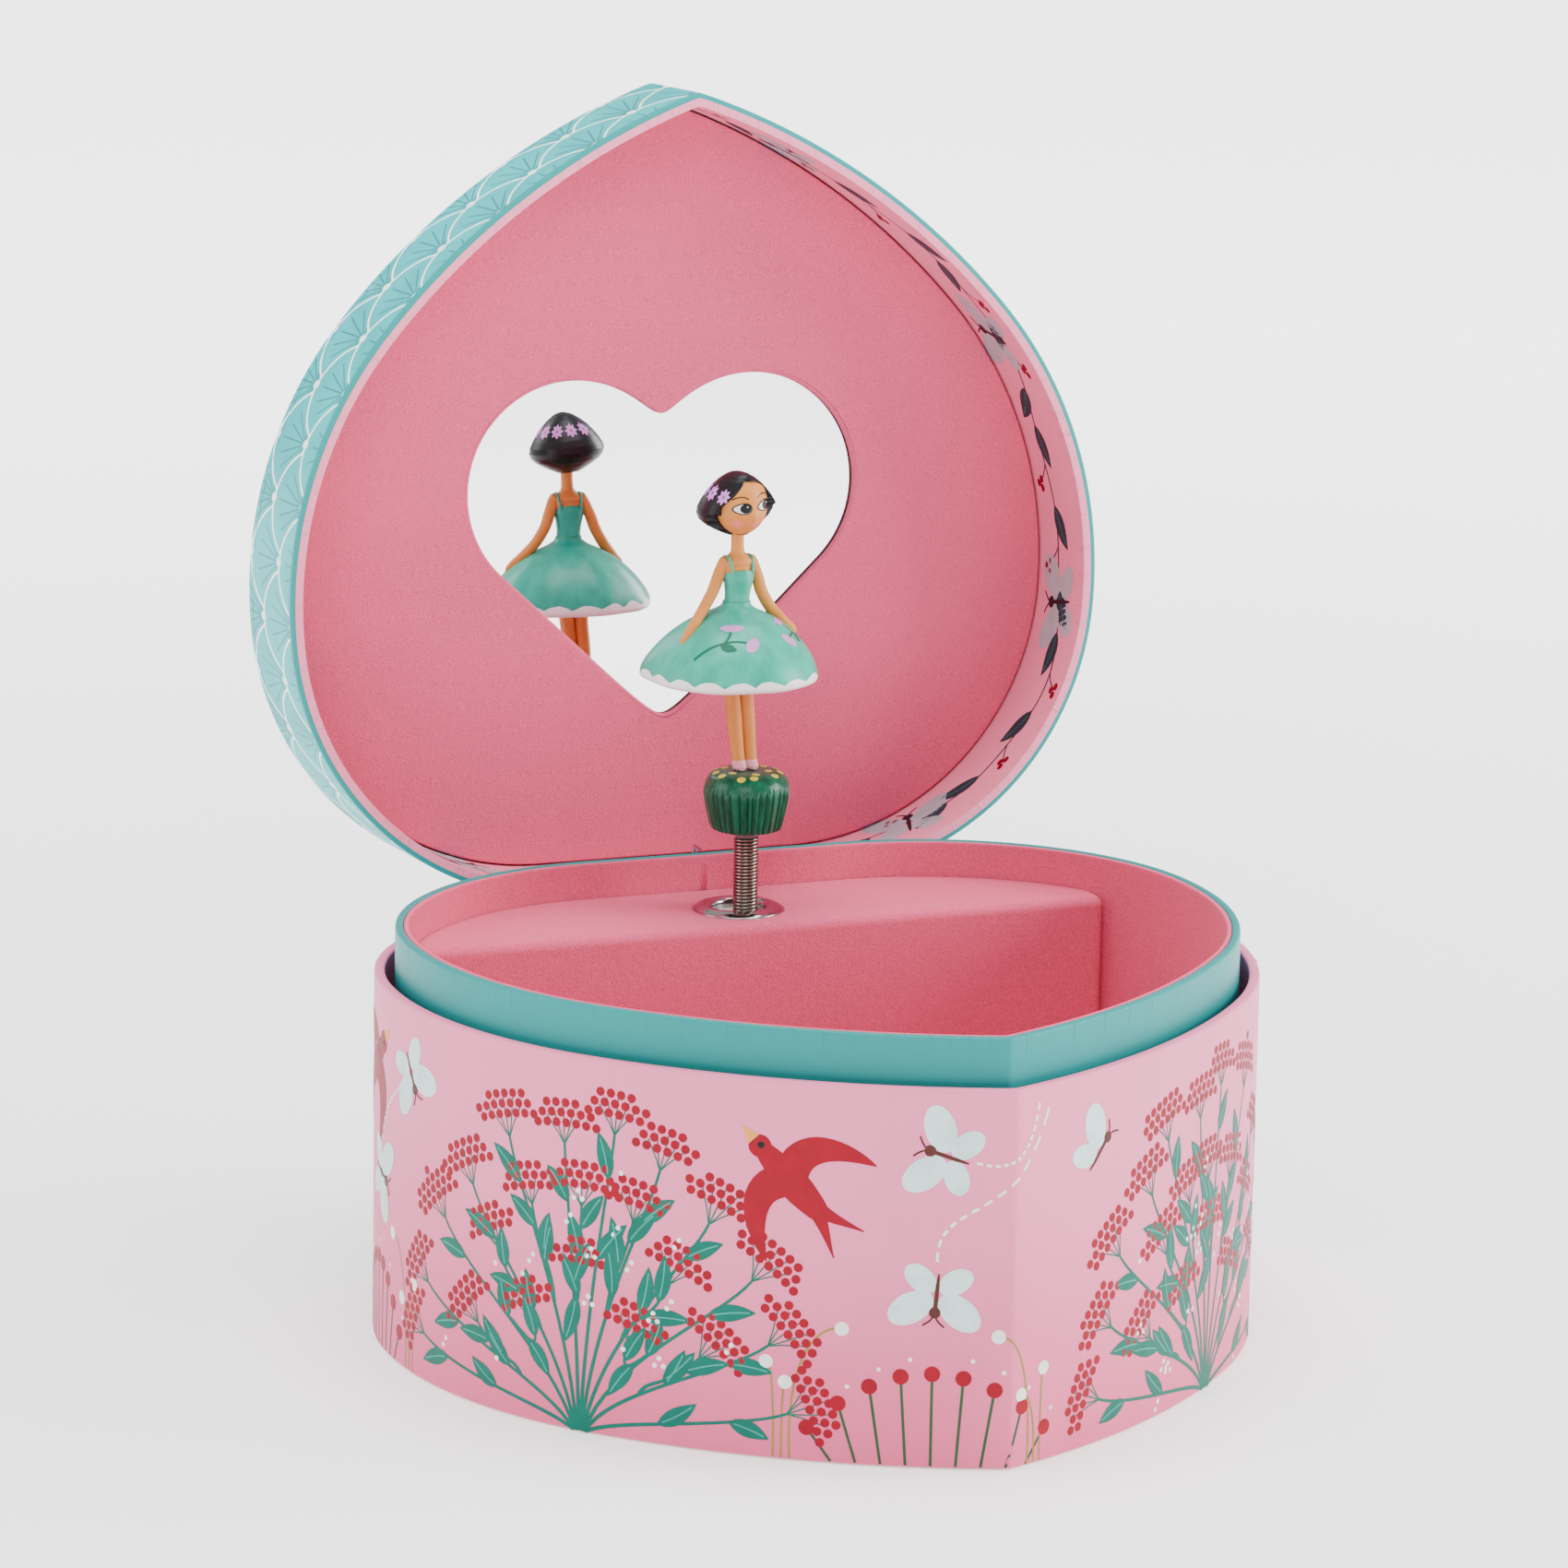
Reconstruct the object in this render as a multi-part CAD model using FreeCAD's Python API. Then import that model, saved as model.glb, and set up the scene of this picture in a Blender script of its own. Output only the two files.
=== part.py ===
"""Wind-up music box: a card box with a pointed, rounded plan, a hinged lid with a heart mirror,
a jewellery compartment, a clockwork movement behind a flocked cover and a dancer on a spring.

Frame: millimetres, +Z up, front corner towards -Y, hinge at +Y, origin under the middle of the
base. The lid is modelled closed and then turned open about its hinge line.
"""
import FreeCAD, Part
import math
import os

from FreeCAD import Vector

os.makedirs("parts", exist_ok=True)

X_AXIS = Vector(1, 0, 0)
Y_AXIS = Vector(0, 1, 0)
Z_AXIS = Vector(0, 0, 1)

# --- box: plan and heights ------------------------------------------------------------------
body_width = 165.0
corner_slope = 19.0          # degrees between the front walls and X at the front corner
flank_radius = 145.6
flank_turn = 30.5            # degrees turned by the flank arc
shoulder_turn = 46.0         # degrees turned by the shoulder arc
back_radius = 56.0
wall_height = 69.1           # top edge of the outer wall above the table
lid_height = 27.0
lid_open_angle = 93.0

outer_wall_thickness = 2.0
bottom_paper_thickness = 0.3
bottom_paper_margin = 0.6
bottom_board_thickness = 2.0
neck_rise = 8.4              # neck rim above the outer wall's edge
neck_offset = 3.8            # outer face of the box to outer face of the neck
neck_thickness = 1.6
neck_lining_thickness = 0.9
floor_pad_thickness = 1.5
fit_gap = 0.2                # glue or slip gap between card pieces

# --- lid ------------------------------------------------------------------------------------
lid_wall_thickness = 2.0
lid_lining_thickness = 0.5
lid_board_thickness = 2.5
lid_panel_depth = 21.3       # lid rim to the flocked panel
lid_panel_thickness = 1.5
lid_panel_gap = 0.8
lid_rim_gap = 0.3            # lid rim above the outer wall's edge when closed
mirror_thickness = 1.4
heart_width = 79.6
heart_height = 66.7
heart_tip_from_hinge = 30.2
heart_lobe_radius = 21.5
mirror_margin = 6.0
hinge_tape_thickness = 0.3
hinge_tape_reach = 8.0
hinge_tape_length = 44.0
tape_fold_gap = 0.5

# --- movement cover and eyelet --------------------------------------------------------------
cover_depth = 34.5           # outer back face to the cover's front face
cover_drop = 7.0             # neck rim down to the cover's top
cover_thickness = 1.5
cover_edge_radius = 2.0
cover_end_gap = 1.8          # free right end of the cover to the lining
eyelet_flange_radius = 8.7
eyelet_flange_height = 1.0
eyelet_x = -1.4              # the eyelet is set a little left of the spindle
eyelet_bore_radius = 5.0
eyelet_wall = 0.5
eyelet_depth = 4.5
bush_height = 5.0
bush_recess = 1.0

# --- movement -------------------------------------------------------------------------------
spindle_from_back = 22.0     # dancer's axis to the outer back face
arbor_height = 30.0
arbor_radius = 1.5
running_gap = 0.05           # radial gap of a shaft in its bore
frame_plate_thickness = 3.0
frame_leg_height = 3.6
frame_upright = 1.5
face_wheel_teeth = 40
face_wheel_radius = 13.0     # where the pinions bear
face_tooth_width = 0.8
face_rim_width = 3.2
pinion_teeth = 8
pinion_root_wall = 0.2       # metal between a small pinion's bore and the foot of its teeth
pinion_tooth_height = 1.5
pinion_tooth_width = 0.7
pinion_length = 3.0
mesh_gap = 0.25
wheel_thickness = 1.5
barrel_radius = 12.3
barrel_depth = 7.5
barrel_wall = 0.8
barrel_lid_thickness = 0.8
mainspring_strip = 0.3
mainspring_turns = 7
cylinder_radius = 6.2
cylinder_start = 18.0
cylinder_length = 22.0
cylinder_arbor_radius = 1.0
pin_radius = 0.25
pin_rise = 0.5
pins_per_note = 4
note_count = 18
note_pitch = 1.1
comb_thickness = 1.0
comb_tooth_length = 9.0
comb_gap = 0.3
comb_slot = 0.3
cut_over = 1.0               # a cutting tool runs this far past the face it cuts
tooth_dedendum = 1.2         # root and tip of a train tooth, in modules
tooth_addendum = 0.8
train_wheel_teeth = 32
train_module = 0.5
governor_teeth = 8
governor_arbor_radius = 0.6
fan_radius = 5.4
fan_width = 4.6
fan_blade_thickness = 0.6
ratchet_teeth = 16
ratchet_radius = 5.0
ratchet_tooth_depth = 0.8
click_length = 9.0
click_width = 1.6
key_wing_span = 26.0
key_wing_height = 15.0
key_wing_thickness = 2.2
key_hub_radius = 3.4
key_hub_length = 11.0
key_stand_off = 1.0
key_grip_depth = 8.0         # arbor's tail inside the key's hub
key_hole_radius = 4.2
stop_wire_radius = 0.35
stop_wire_x = -3.0
stop_wire_swing = 4.0        # degrees from playing to stopped
stop_wire_tip_y_from_back = 2.44
screw_radius = 1.2
screw_head_radius = 2.2
screw_head_height = 1.0

# --- dancer ---------------------------------------------------------------------------------
spring_outer_radius = 2.4
spring_inner_radius = 1.7
spring_seat = 1.2            # length of the spindle's tip inside the spring
spring_seat_gap = 0.2
spring_height = 15.5         # cover top to the plug
plug_height = 1.3
plug_radius = 3.2
plug_stem_radius = 1.6
plug_stem_length = 3.0
plinth_height = 11.5
plinth_top_radius = 8.2
plinth_bottom_radius = 7.2
leg_radius = 1.7
leg_spread = 1.55            # half distance between the leg axes
skirt_radius = 16.6
skirt_hem_height = 18.0      # plinth top to the skirt's hem
skirt_rise = 12.6
waist_radius = 3.2
bodice_height = 7.4
shoulder_radius = 3.4
neck_length = 5.8
neck_radius = 1.3
ankle_radius = 1.1
leg_taper = 0.75             # the feet stand closer than the thighs by this share
skirt_thickness = 1.6
head_radius = 6.0
hair_radius = 7.5
arm_radius = 1.15
hand_reach = 10.6
figure_turn = 5.5            # degrees the figure faces right of the front corner
figure_lean_x = -1.6         # the moulded figure leans off the spindle's axis above its feet
figure_lean_y = 0.6
foot_height = 1.2

# --- derived places -------------------------------------------------------------------------
TURN_1 = math.radians(corner_slope + flank_turn)
TURN_2 = math.radians(corner_slope + flank_turn + shoulder_turn)
SLOPE = math.radians(corner_slope)
shoulder_arc_radius = ((body_width / 2 - flank_radius * (math.sin(TURN_1) - math.sin(SLOPE)))
                       / (1 - math.sin(TURN_1)))


def step(point, radius, start, end):
    """End of an arc that starts at point, turning left from heading start to heading end."""
    return (point[0] + radius * (math.sin(end) - math.sin(start)),
            point[1] - radius * (math.cos(end) - math.cos(start)))


ARC_1_END = step((0.0, 0.0), flank_radius, SLOPE, TURN_1)
ARC_2_END = step(ARC_1_END, shoulder_arc_radius, TURN_1, TURN_2)
ARC_3_END = step(ARC_2_END, back_radius, TURN_2, math.pi)
body_depth = ARC_3_END[1]
front_y = -body_depth / 2
back_y = body_depth / 2
back_flat = ARC_3_END[0]     # half length of the straight back

pinion_root_radius = arbor_radius + pinion_root_wall
pinion_tip_radius = pinion_root_radius + pinion_tooth_height
wall_bottom = bottom_paper_thickness
floor_top = wall_bottom + bottom_board_thickness
neck_top = wall_height + neck_rise
neck_inner_offset = neck_offset + neck_thickness
lining_inner_offset = neck_inner_offset + neck_lining_thickness
hinge_y = back_y
hinge_z = wall_height + lid_rim_gap / 2
lid_rim_z = wall_height + lid_rim_gap
lid_top_z = wall_height + lid_height
lid_board_z = lid_top_z - lid_board_thickness
panel_z = wall_height + lid_panel_depth
cover_top = neck_top - cover_drop
cover_front = back_y - cover_depth
spindle_y = back_y - spindle_from_back
plug_bottom = cover_top + spring_height - plug_height
plinth_bottom = plug_bottom + plug_height
plinth_top = plinth_bottom + plinth_height
bush_top = cover_top - bush_recess
frame_bottom = floor_top
plate_bottom = frame_bottom + frame_leg_height
plate_top = plate_bottom + frame_plate_thickness
wheel_face_y = spindle_y + pinion_tip_radius + mesh_gap
face_tooth_height = pinion_tip_radius - pinion_root_radius
barrel_front = wheel_face_y + wheel_thickness
barrel_back = barrel_front + barrel_depth


# --- outline helpers ------------------------------------------------------------------------
def arc_pair(centre, radius, start, end, z):
    """Arc from heading start to heading end, turning left round centre, and its mirror in X."""
    def at(angle, side):
        return Vector(side * (centre[0] + radius * math.sin(angle)), centre[1] - radius * math.cos(angle), z)
    middle = (start + end) / 2
    return [Part.Arc(at(start, side), at(middle, side), at(end, side)).toShape() for side in (1, -1)]


def plan_wire(inset, z):
    """The box's plan, offset inwards by inset: flank, shoulder and back arcs each side, flat back."""
    centre_1 = (-flank_radius * math.sin(SLOPE), front_y + flank_radius * math.cos(SLOPE))
    end_1 = (ARC_1_END[0], ARC_1_END[1] + front_y)
    centre_2 = (end_1[0] - shoulder_arc_radius * math.sin(TURN_1),
                end_1[1] + shoulder_arc_radius * math.cos(TURN_1))
    end_2 = (ARC_2_END[0], ARC_2_END[1] + front_y)
    centre_3 = (end_2[0] - back_radius * math.sin(TURN_2), end_2[1] + back_radius * math.cos(TURN_2))
    start = math.asin(-centre_1[0] / (flank_radius - inset))
    edges = arc_pair(centre_1, flank_radius - inset, start, TURN_1, z)
    edges += arc_pair(centre_2, shoulder_arc_radius - inset, TURN_1, TURN_2, z)
    edges += arc_pair(centre_3, back_radius - inset, TURN_2, math.pi, z)
    y = back_y - inset
    edges.append(Part.makeLine(Vector(back_flat, y, z), Vector(-back_flat, y, z)))
    return Part.Wire(Part.__sortEdges__(edges))


def plan_plate(inset, bottom, top):
    return Part.Face(plan_wire(inset, bottom)).extrude(Vector(0, 0, top - bottom))


def plan_band(outer_inset, inner_inset, bottom, top):
    return plan_plate(outer_inset, bottom, top).cut(plan_plate(inner_inset, bottom - 1, top + 1))


def box(low, high):
    return Part.makeBox(high[0] - low[0], high[1] - low[1], high[2] - low[2], Vector(*low))


def rod(start, end, radius):
    direction = Vector(*end) - Vector(*start)
    return Part.makeCylinder(radius, direction.Length, Vector(*start), direction)


def bent_rod(points, radius):
    """Round wire through points, with a ball at each bend."""
    shape = rod(points[0], points[1], radius)
    for first, second in zip(points[1:], points[2:]):
        shape = shape.fuse(Part.makeSphere(radius, Vector(*first)))
        shape = shape.fuse(rod(first, second, radius))
    return shape.removeSplitter()


def revolved(profile):
    """Solid of revolution about Z from (radius, height) points, closed along the axis."""
    points = [Vector(0, 0, profile[0][1])]
    points += [Vector(radius, 0, height) for radius, height in profile]
    points += [Vector(0, 0, profile[-1][1]), Vector(0, 0, profile[0][1])]
    return Part.Face(Part.makePolygon(points)).revolve(Vector(0, 0, 0), Z_AXIS, 360)


def smooth_revolved(profile):
    """Solid of revolution whose side is one smooth curve through (radius, height) points."""
    curve = Part.BSplineCurve()
    curve.interpolate([Vector(radius, 0, height) for radius, height in profile])
    bottom = Vector(0, 0, profile[0][1])
    top = Vector(0, 0, profile[-1][1])
    edges = [curve.toShape(), Part.makeLine(bottom, top)]
    if profile[0][0] > 0:
        edges.append(Part.makeLine(bottom, Vector(profile[0][0], 0, profile[0][1])))
    if profile[-1][0] > 0:
        edges.append(Part.makeLine(Vector(profile[-1][0], 0, profile[-1][1]), top))
    return Part.Face(Part.Wire(Part.__sortEdges__(edges))).revolve(Vector(0, 0, 0), Z_AXIS, 360)


def toothed_disc(teeth, root_radius, tip_radius, root_width, tip_width, thickness, first_angle):
    """Disc about Z with trapezoid teeth; first_angle is where the first tooth points."""
    shape = Part.makeCylinder(root_radius, thickness)
    inner = root_radius - root_width
    for index in range(teeth):
        corners = [Vector(inner, -root_width / 2, 0), Vector(root_radius, -root_width / 2, 0),
                   Vector(tip_radius, -tip_width / 2, 0), Vector(tip_radius, tip_width / 2, 0),
                   Vector(root_radius, root_width / 2, 0), Vector(inner, root_width / 2, 0)]
        tooth = Part.Face(Part.makePolygon(corners + [corners[0]])).extrude(Vector(0, 0, thickness))
        tooth.rotate(Vector(0, 0, 0), Z_AXIS, math.degrees(first_angle) + index * 360.0 / teeth)
        shape = shape.fuse(tooth)
    return shape.removeSplitter()


def z_to_y(shape):
    """Turn a shape built about Z so that its axis runs along +Y."""
    shape.rotate(Vector(0, 0, 0), X_AXIS, -90)
    return shape


def z_to_x(shape):
    """Turn a shape built about Z so that its axis runs along +X."""
    shape.rotate(Vector(0, 0, 0), Y_AXIS, 90)
    return shape


def moved(shape, x, y, z):
    shape.translate(Vector(x, y, z))
    return shape


def opened(shape):
    """Turn a lid piece from its closed place to its open one."""
    shape.rotate(Vector(0, hinge_y, hinge_z), X_AXIS, -lid_open_angle)
    return shape


def save(name, shape):
    if not shape.isValid() or shape.Volume <= 0:
        raise ValueError("bad solid in " + name)
    shape.exportStep("parts/" + name + ".step")
    print(name, len(shape.Solids), round(shape.Volume, 1))


# --- base: card shell -----------------------------------------------------------------------
def screw_places():
    """Where the movement's four screws stand, from the spindle and the back face."""
    return [(-16.0, spindle_y - 7.0), (-16.0, spindle_y + 12.0), (44.0, spindle_y - 7.0),
            (30.0, spindle_y + 9.0)]


def screw_holes(bottom, top, radius):
    holes = [rod((x, y, bottom), (x, y, top), radius) for x, y in screw_places()]
    return Part.makeCompound(holes)


def bottom_paper():
    sheet = plan_plate(bottom_paper_margin, 0, bottom_paper_thickness)
    return sheet.cut(screw_holes(-1, bottom_paper_thickness + 1, screw_head_radius + fit_gap))


def bottom_board():
    board = plan_plate(outer_wall_thickness, wall_bottom, floor_top)
    board = board.cut(screw_holes(0, floor_top + 1, screw_radius + running_gap))
    return board.cut(screw_holes(0, wall_bottom + screw_head_height, screw_head_radius + fit_gap))


def key_hole(from_y, to_y):
    return rod((0, from_y, arbor_height), (0, to_y, arbor_height), key_hole_radius)


def outer_wall():
    wall = plan_band(0, outer_wall_thickness, wall_bottom, wall_height)
    return wall.cut(key_hole(spindle_y, back_y + 1))


def stop_wire_slot():
    """Slot through the neck and its lining where the stop wire rocks."""
    half = stop_wire_radius + 0.8
    low = (stop_wire_x - half, back_y - lining_inner_offset - 1, stop_pivot_z - 2.5)
    high = (stop_wire_x + half, back_y - neck_offset + 1, stop_pivot_z + 2.5)
    return box(low, high)


def neck_wall():
    wall = plan_band(neck_offset, neck_inner_offset, floor_top, neck_top)
    return wall.cut(key_hole(spindle_y, back_y)).cut(stop_wire_slot())


def neck_lining():
    lining = plan_band(neck_inner_offset, lining_inner_offset, floor_top, neck_top)
    return lining.cut(key_hole(spindle_y, back_y)).cut(stop_wire_slot())


def compartment_floor():
    pad = plan_plate(lining_inner_offset + fit_gap, floor_top, floor_top + floor_pad_thickness)
    behind = box((-body_width, cover_front - fit_gap, 0), (body_width, body_depth, cover_top))
    return pad.cut(behind)


def cover_block(inset, front, right_limit, top, edge):
    """Solid block of the rear compartment, with rounded top edges at the front and right end."""
    block = plan_plate(inset, floor_top, top)
    keep = box((-body_width, front, 0), (right_limit, body_depth, top))
    front_edges = [item for item in keep.Edges if is_cover_edge(item, front, right_limit, top)]
    return block.common(keep.makeFillet(edge, front_edges))


def is_cover_edge(edge, front, right_limit, top):
    """True for the box edges along the cover's front top, right top and front right corner."""
    ends = [vertex.Point for vertex in edge.Vertexes]
    at_top = all(abs(point.z - top) < 1e-6 for point in ends)
    at_front = all(abs(point.y - front) < 1e-6 for point in ends)
    at_right = all(abs(point.x - right_limit) < 1e-6 for point in ends)
    return (at_top and at_front) or (at_top and at_right) or (at_front and at_right)


def cover_right():
    """Right end of the cover: where the lining meets the cover's front, less the end gap."""
    slab = plan_plate(lining_inner_offset, 0, 1)
    line = box((0, cover_front, 0), (body_width, cover_front + 0.1, 1))
    return slab.common(line).BoundBox.XMax - cover_end_gap


def mechanism_cover():
    inset = lining_inner_offset + fit_gap
    right = cover_right()
    outside = cover_block(inset, cover_front, right, cover_top, cover_edge_radius)
    inside = cover_block(inset - 1, cover_front + cover_thickness, right - cover_thickness,
                         cover_top - cover_thickness, cover_edge_radius - cover_thickness + 0.2)
    shell = outside.cut(inside)
    hole = eyelet_bore_radius + eyelet_wall + running_gap
    shell = shell.cut(rod((eyelet_x, spindle_y, cover_top - 9), (eyelet_x, spindle_y, cover_top + 1), hole))
    return max(shell.Solids, key=lambda solid: solid.Volume)


def eyelet():
    outer = eyelet_bore_radius + eyelet_wall
    profile = [(outer, -eyelet_depth), (outer, 0), (eyelet_flange_radius, 0),
               (eyelet_flange_radius - 0.2, 0.35), (eyelet_flange_radius - 1.3, 0.85),
               (outer + 0.9, eyelet_flange_height), (outer, 0.8), (eyelet_bore_radius, 0.3)]
    shape = revolved(profile)
    shape = shape.cut(rod((0, 0, -eyelet_depth - 1), (0, 0, 2), eyelet_bore_radius))
    return moved(shape, eyelet_x, spindle_y, cover_top)


def spindle_bush():
    bush = rod((eyelet_x, spindle_y, bush_top - bush_height), (eyelet_x, spindle_y, bush_top),
               eyelet_bore_radius - 0.02)
    bore = rod((0, spindle_y, 0), (0, spindle_y, neck_top), arbor_radius + running_gap)
    return bush.cut(bore)


def hinge_tape_base():
    return box((-hinge_tape_length / 2, back_y, hinge_z - tape_fold_gap - hinge_tape_reach),
               (hinge_tape_length / 2, back_y + hinge_tape_thickness, hinge_z - tape_fold_gap))


# --- lid ------------------------------------------------------------------------------------
def heart_wire(z, margin):
    """Heart with two round lobes and a tip towards the hinge, grown outwards by margin."""
    tip_y = back_y - heart_tip_from_hinge
    lobe_x = heart_width / 2 - heart_lobe_radius
    lobe_y = tip_y - heart_height + heart_lobe_radius
    radius = heart_lobe_radius + margin
    apex_y = tip_y + margin * 1.3
    notch_y = lobe_y - math.sqrt(radius ** 2 - lobe_x ** 2)
    distance = math.hypot(lobe_x, apex_y - lobe_y)
    spread = math.acos(radius / distance)
    towards = math.atan2(apex_y - lobe_y, -lobe_x)
    touch = towards - spread
    notch_angle = math.atan2(notch_y - lobe_y, -lobe_x) + 2 * math.pi
    middle = (touch + notch_angle - 2 * math.pi) / 2

    def at(angle, side):
        return Vector(side * (lobe_x + radius * math.cos(angle)), lobe_y + radius * math.sin(angle), z)

    edges = []
    for side in (1, -1):
        edges.append(Part.Arc(at(touch, side), at(middle, side), Vector(0, notch_y, z)).toShape())
        edges.append(Part.makeLine(Vector(0, apex_y, z), at(touch, side)))
    return Part.Wire(Part.__sortEdges__(edges))


def heart_plate(bottom, top, margin):
    return Part.Face(heart_wire(bottom, margin)).extrude(Vector(0, 0, top - bottom))


def lid_wall():
    return plan_band(0, lid_wall_thickness, lid_rim_z, lid_board_z)


def lid_lining():
    outer = lid_wall_thickness
    return plan_band(outer, outer + lid_lining_thickness, lid_rim_z, lid_board_z)


def lid_top():
    return plan_plate(0, lid_board_z, lid_top_z)


def lid_panel():
    inset = lid_wall_thickness + lid_lining_thickness + lid_panel_gap
    panel = plan_plate(inset, panel_z, panel_z + lid_panel_thickness)
    return panel.cut(heart_plate(panel_z - 1, panel_z + lid_panel_thickness + 1, 0))


def mirror():
    low = panel_z + lid_panel_thickness
    return heart_plate(low, low + mirror_thickness, mirror_margin)


def panel_backing():
    """Board ring between the panel and the lid's top, cut out round the mirror."""
    inset = lid_wall_thickness + lid_lining_thickness + lid_panel_gap + 3
    low = panel_z + lid_panel_thickness
    ring = plan_plate(inset, low, lid_board_z)
    return ring.cut(heart_plate(low - 1, lid_board_z + 1, mirror_margin + fit_gap))


def hinge_tape_lid():
    return box((-hinge_tape_length / 2, back_y, hinge_z + tape_fold_gap),
               (hinge_tape_length / 2, back_y + hinge_tape_thickness,
                hinge_z + tape_fold_gap + hinge_tape_reach))


# --- movement -------------------------------------------------------------------------------
frame_front = spindle_y - 9.0
frame_back = barrel_back + 2.2
bearing_left = cylinder_start - 2.5
bearing_right = cylinder_start + cylinder_length + 1.0
train_wheel_x = bearing_right + frame_upright + 0.5
governor_z = arbor_height + train_module * (train_wheel_teeth + governor_teeth) / 2 + 0.1
fan_x = train_wheel_x + wheel_thickness + 1.0
bearing_outer = fan_x + fan_width + 1.0
stop_pivot_y = back_y - neck_inner_offset
stop_pivot_z = wall_height - 5.0
spindle_seat_z = arbor_height + ratchet_radius + 2.0
ratchet_y = frame_front + frame_upright + 1.0
click_pivot = (-(ratchet_radius + 4.0), arbor_height + ratchet_radius - 0.5)


def movement_frame():
    """Die-cast frame: plate on legs, two arbor bearings, three train bearings, spindle seat."""
    left, right = -20.0, bearing_outer + frame_upright
    shape = box((left, frame_front, plate_bottom), (right, frame_back, plate_top))
    for x, y in screw_places():
        shape = shape.fuse(rod((x, y, frame_bottom), (x, y, plate_bottom), screw_head_radius))
    for y in (frame_front, barrel_back + 0.5):
        shape = shape.fuse(box((-12, y, plate_top), (12, y + frame_upright, arbor_height + 4)))
    shape = shape.fuse(box((-4.5, frame_front, arbor_height), (4.5, frame_front + frame_upright,
                                                              spindle_seat_z + 2)))
    shape = shape.fuse(box((-4.5, frame_front, spindle_seat_z),
                           (4.5, spindle_y + 2.6, spindle_seat_z + 2)))
    tops = {bearing_left: arbor_height + 3, bearing_right: governor_z + 3, bearing_outer: governor_z + 3}
    for x, top in tops.items():
        shape = shape.fuse(box((x, spindle_y - 3, plate_top), (x + frame_upright, spindle_y + 3, top)))
    anvil_top = plate_top + 5.0
    shape = shape.fuse(box((cylinder_start + 1, spindle_y + comb_thickness / 2, plate_top),
                           (cylinder_start + cylinder_length - 1, spindle_y + 4.5, anvil_top)))
    shape = shape.fuse(box((click_pivot[0] - 2.5, frame_front, arbor_height),
                           (click_pivot[0] + 2.5, frame_front + frame_upright, click_pivot[1] + 2.5)))
    bore = arbor_radius + running_gap
    shape = shape.cut(rod((0, frame_front - 1, arbor_height), (0, frame_back + 1, arbor_height), bore))
    shape = shape.cut(rod((0, spindle_y, spindle_seat_z - 1), (0, spindle_y, spindle_seat_z + 3), bore))
    bore = cylinder_arbor_radius + running_gap
    shape = shape.cut(rod((bearing_left - 1, spindle_y, arbor_height),
                          (bearing_right + 3, spindle_y, arbor_height), bore))
    bore = governor_arbor_radius + running_gap
    shape = shape.cut(rod((bearing_right - 1, spindle_y, governor_z),
                          (bearing_outer + 3, spindle_y, governor_z), bore))
    shape = shape.cut(screw_holes(0, plate_top + 1, screw_radius - 0.1))
    for x in comb_screw_places():
        shape = shape.cut(rod((x, spindle_y, comb_screw_z), (x, spindle_y + 9, comb_screw_z), 0.7))
    click_bore = rod((click_pivot[0], frame_front - 1, click_pivot[1]),
                     (click_pivot[0], ratchet_y - 0.5, click_pivot[1]), 0.7)
    shape = shape.cut(click_bore)
    return shape.common(plan_plate(lining_inner_offset + fit_gap, 0, cover_top)).removeSplitter()


def frame_screws():
    screws = []
    for x, y in screw_places():
        shank = rod((x, y, wall_bottom), (x, y, plate_top - 0.5), screw_radius - 0.1)
        head = rod((x, y, 0.05), (x, y, wall_bottom + screw_head_height), screw_head_radius)
        screws.append(shank.fuse(head).removeSplitter())
    return Part.makeCompound(screws)


comb_screw_z = plate_top + 2.5


def comb_screw_places():
    return [cylinder_start + 4.0, cylinder_start + cylinder_length / 2,
            cylinder_start + cylinder_length - 4.0]


def comb():
    """Steel comb standing under the cylinder, one tooth for each note."""
    left = cylinder_start + (cylinder_length - note_count * note_pitch) / 2
    tip_z = arbor_height - cylinder_radius - pin_rise - comb_gap
    low_y, high_y = spindle_y - comb_thickness / 2, spindle_y + comb_thickness / 2
    shape = box((left, low_y, plate_top), (left + note_count * note_pitch, high_y, tip_z))
    for note in range(1, note_count):
        x = left + note * note_pitch
        slot_low = (x - comb_slot / 2, low_y - cut_over, tip_z - comb_tooth_length)
        slot_high = (x + comb_slot / 2, high_y + cut_over, tip_z + cut_over)
        shape = shape.cut(box(slot_low, slot_high))
    for x in comb_screw_places():
        shape = shape.cut(rod((x, low_y - 1, comb_screw_z), (x, high_y + 1, comb_screw_z), 0.8))
    return shape


def comb_screws():
    screws = []
    head_y = spindle_y - comb_thickness / 2
    for x in comb_screw_places():
        shank = rod((x, head_y, comb_screw_z), (x, spindle_y + 4, comb_screw_z), 0.7)
        screws.append(shank.fuse(rod((x, head_y - 0.9, comb_screw_z), (x, head_y, comb_screw_z), 1.5)))
    return Part.makeCompound([screw.removeSplitter() for screw in screws])


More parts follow.
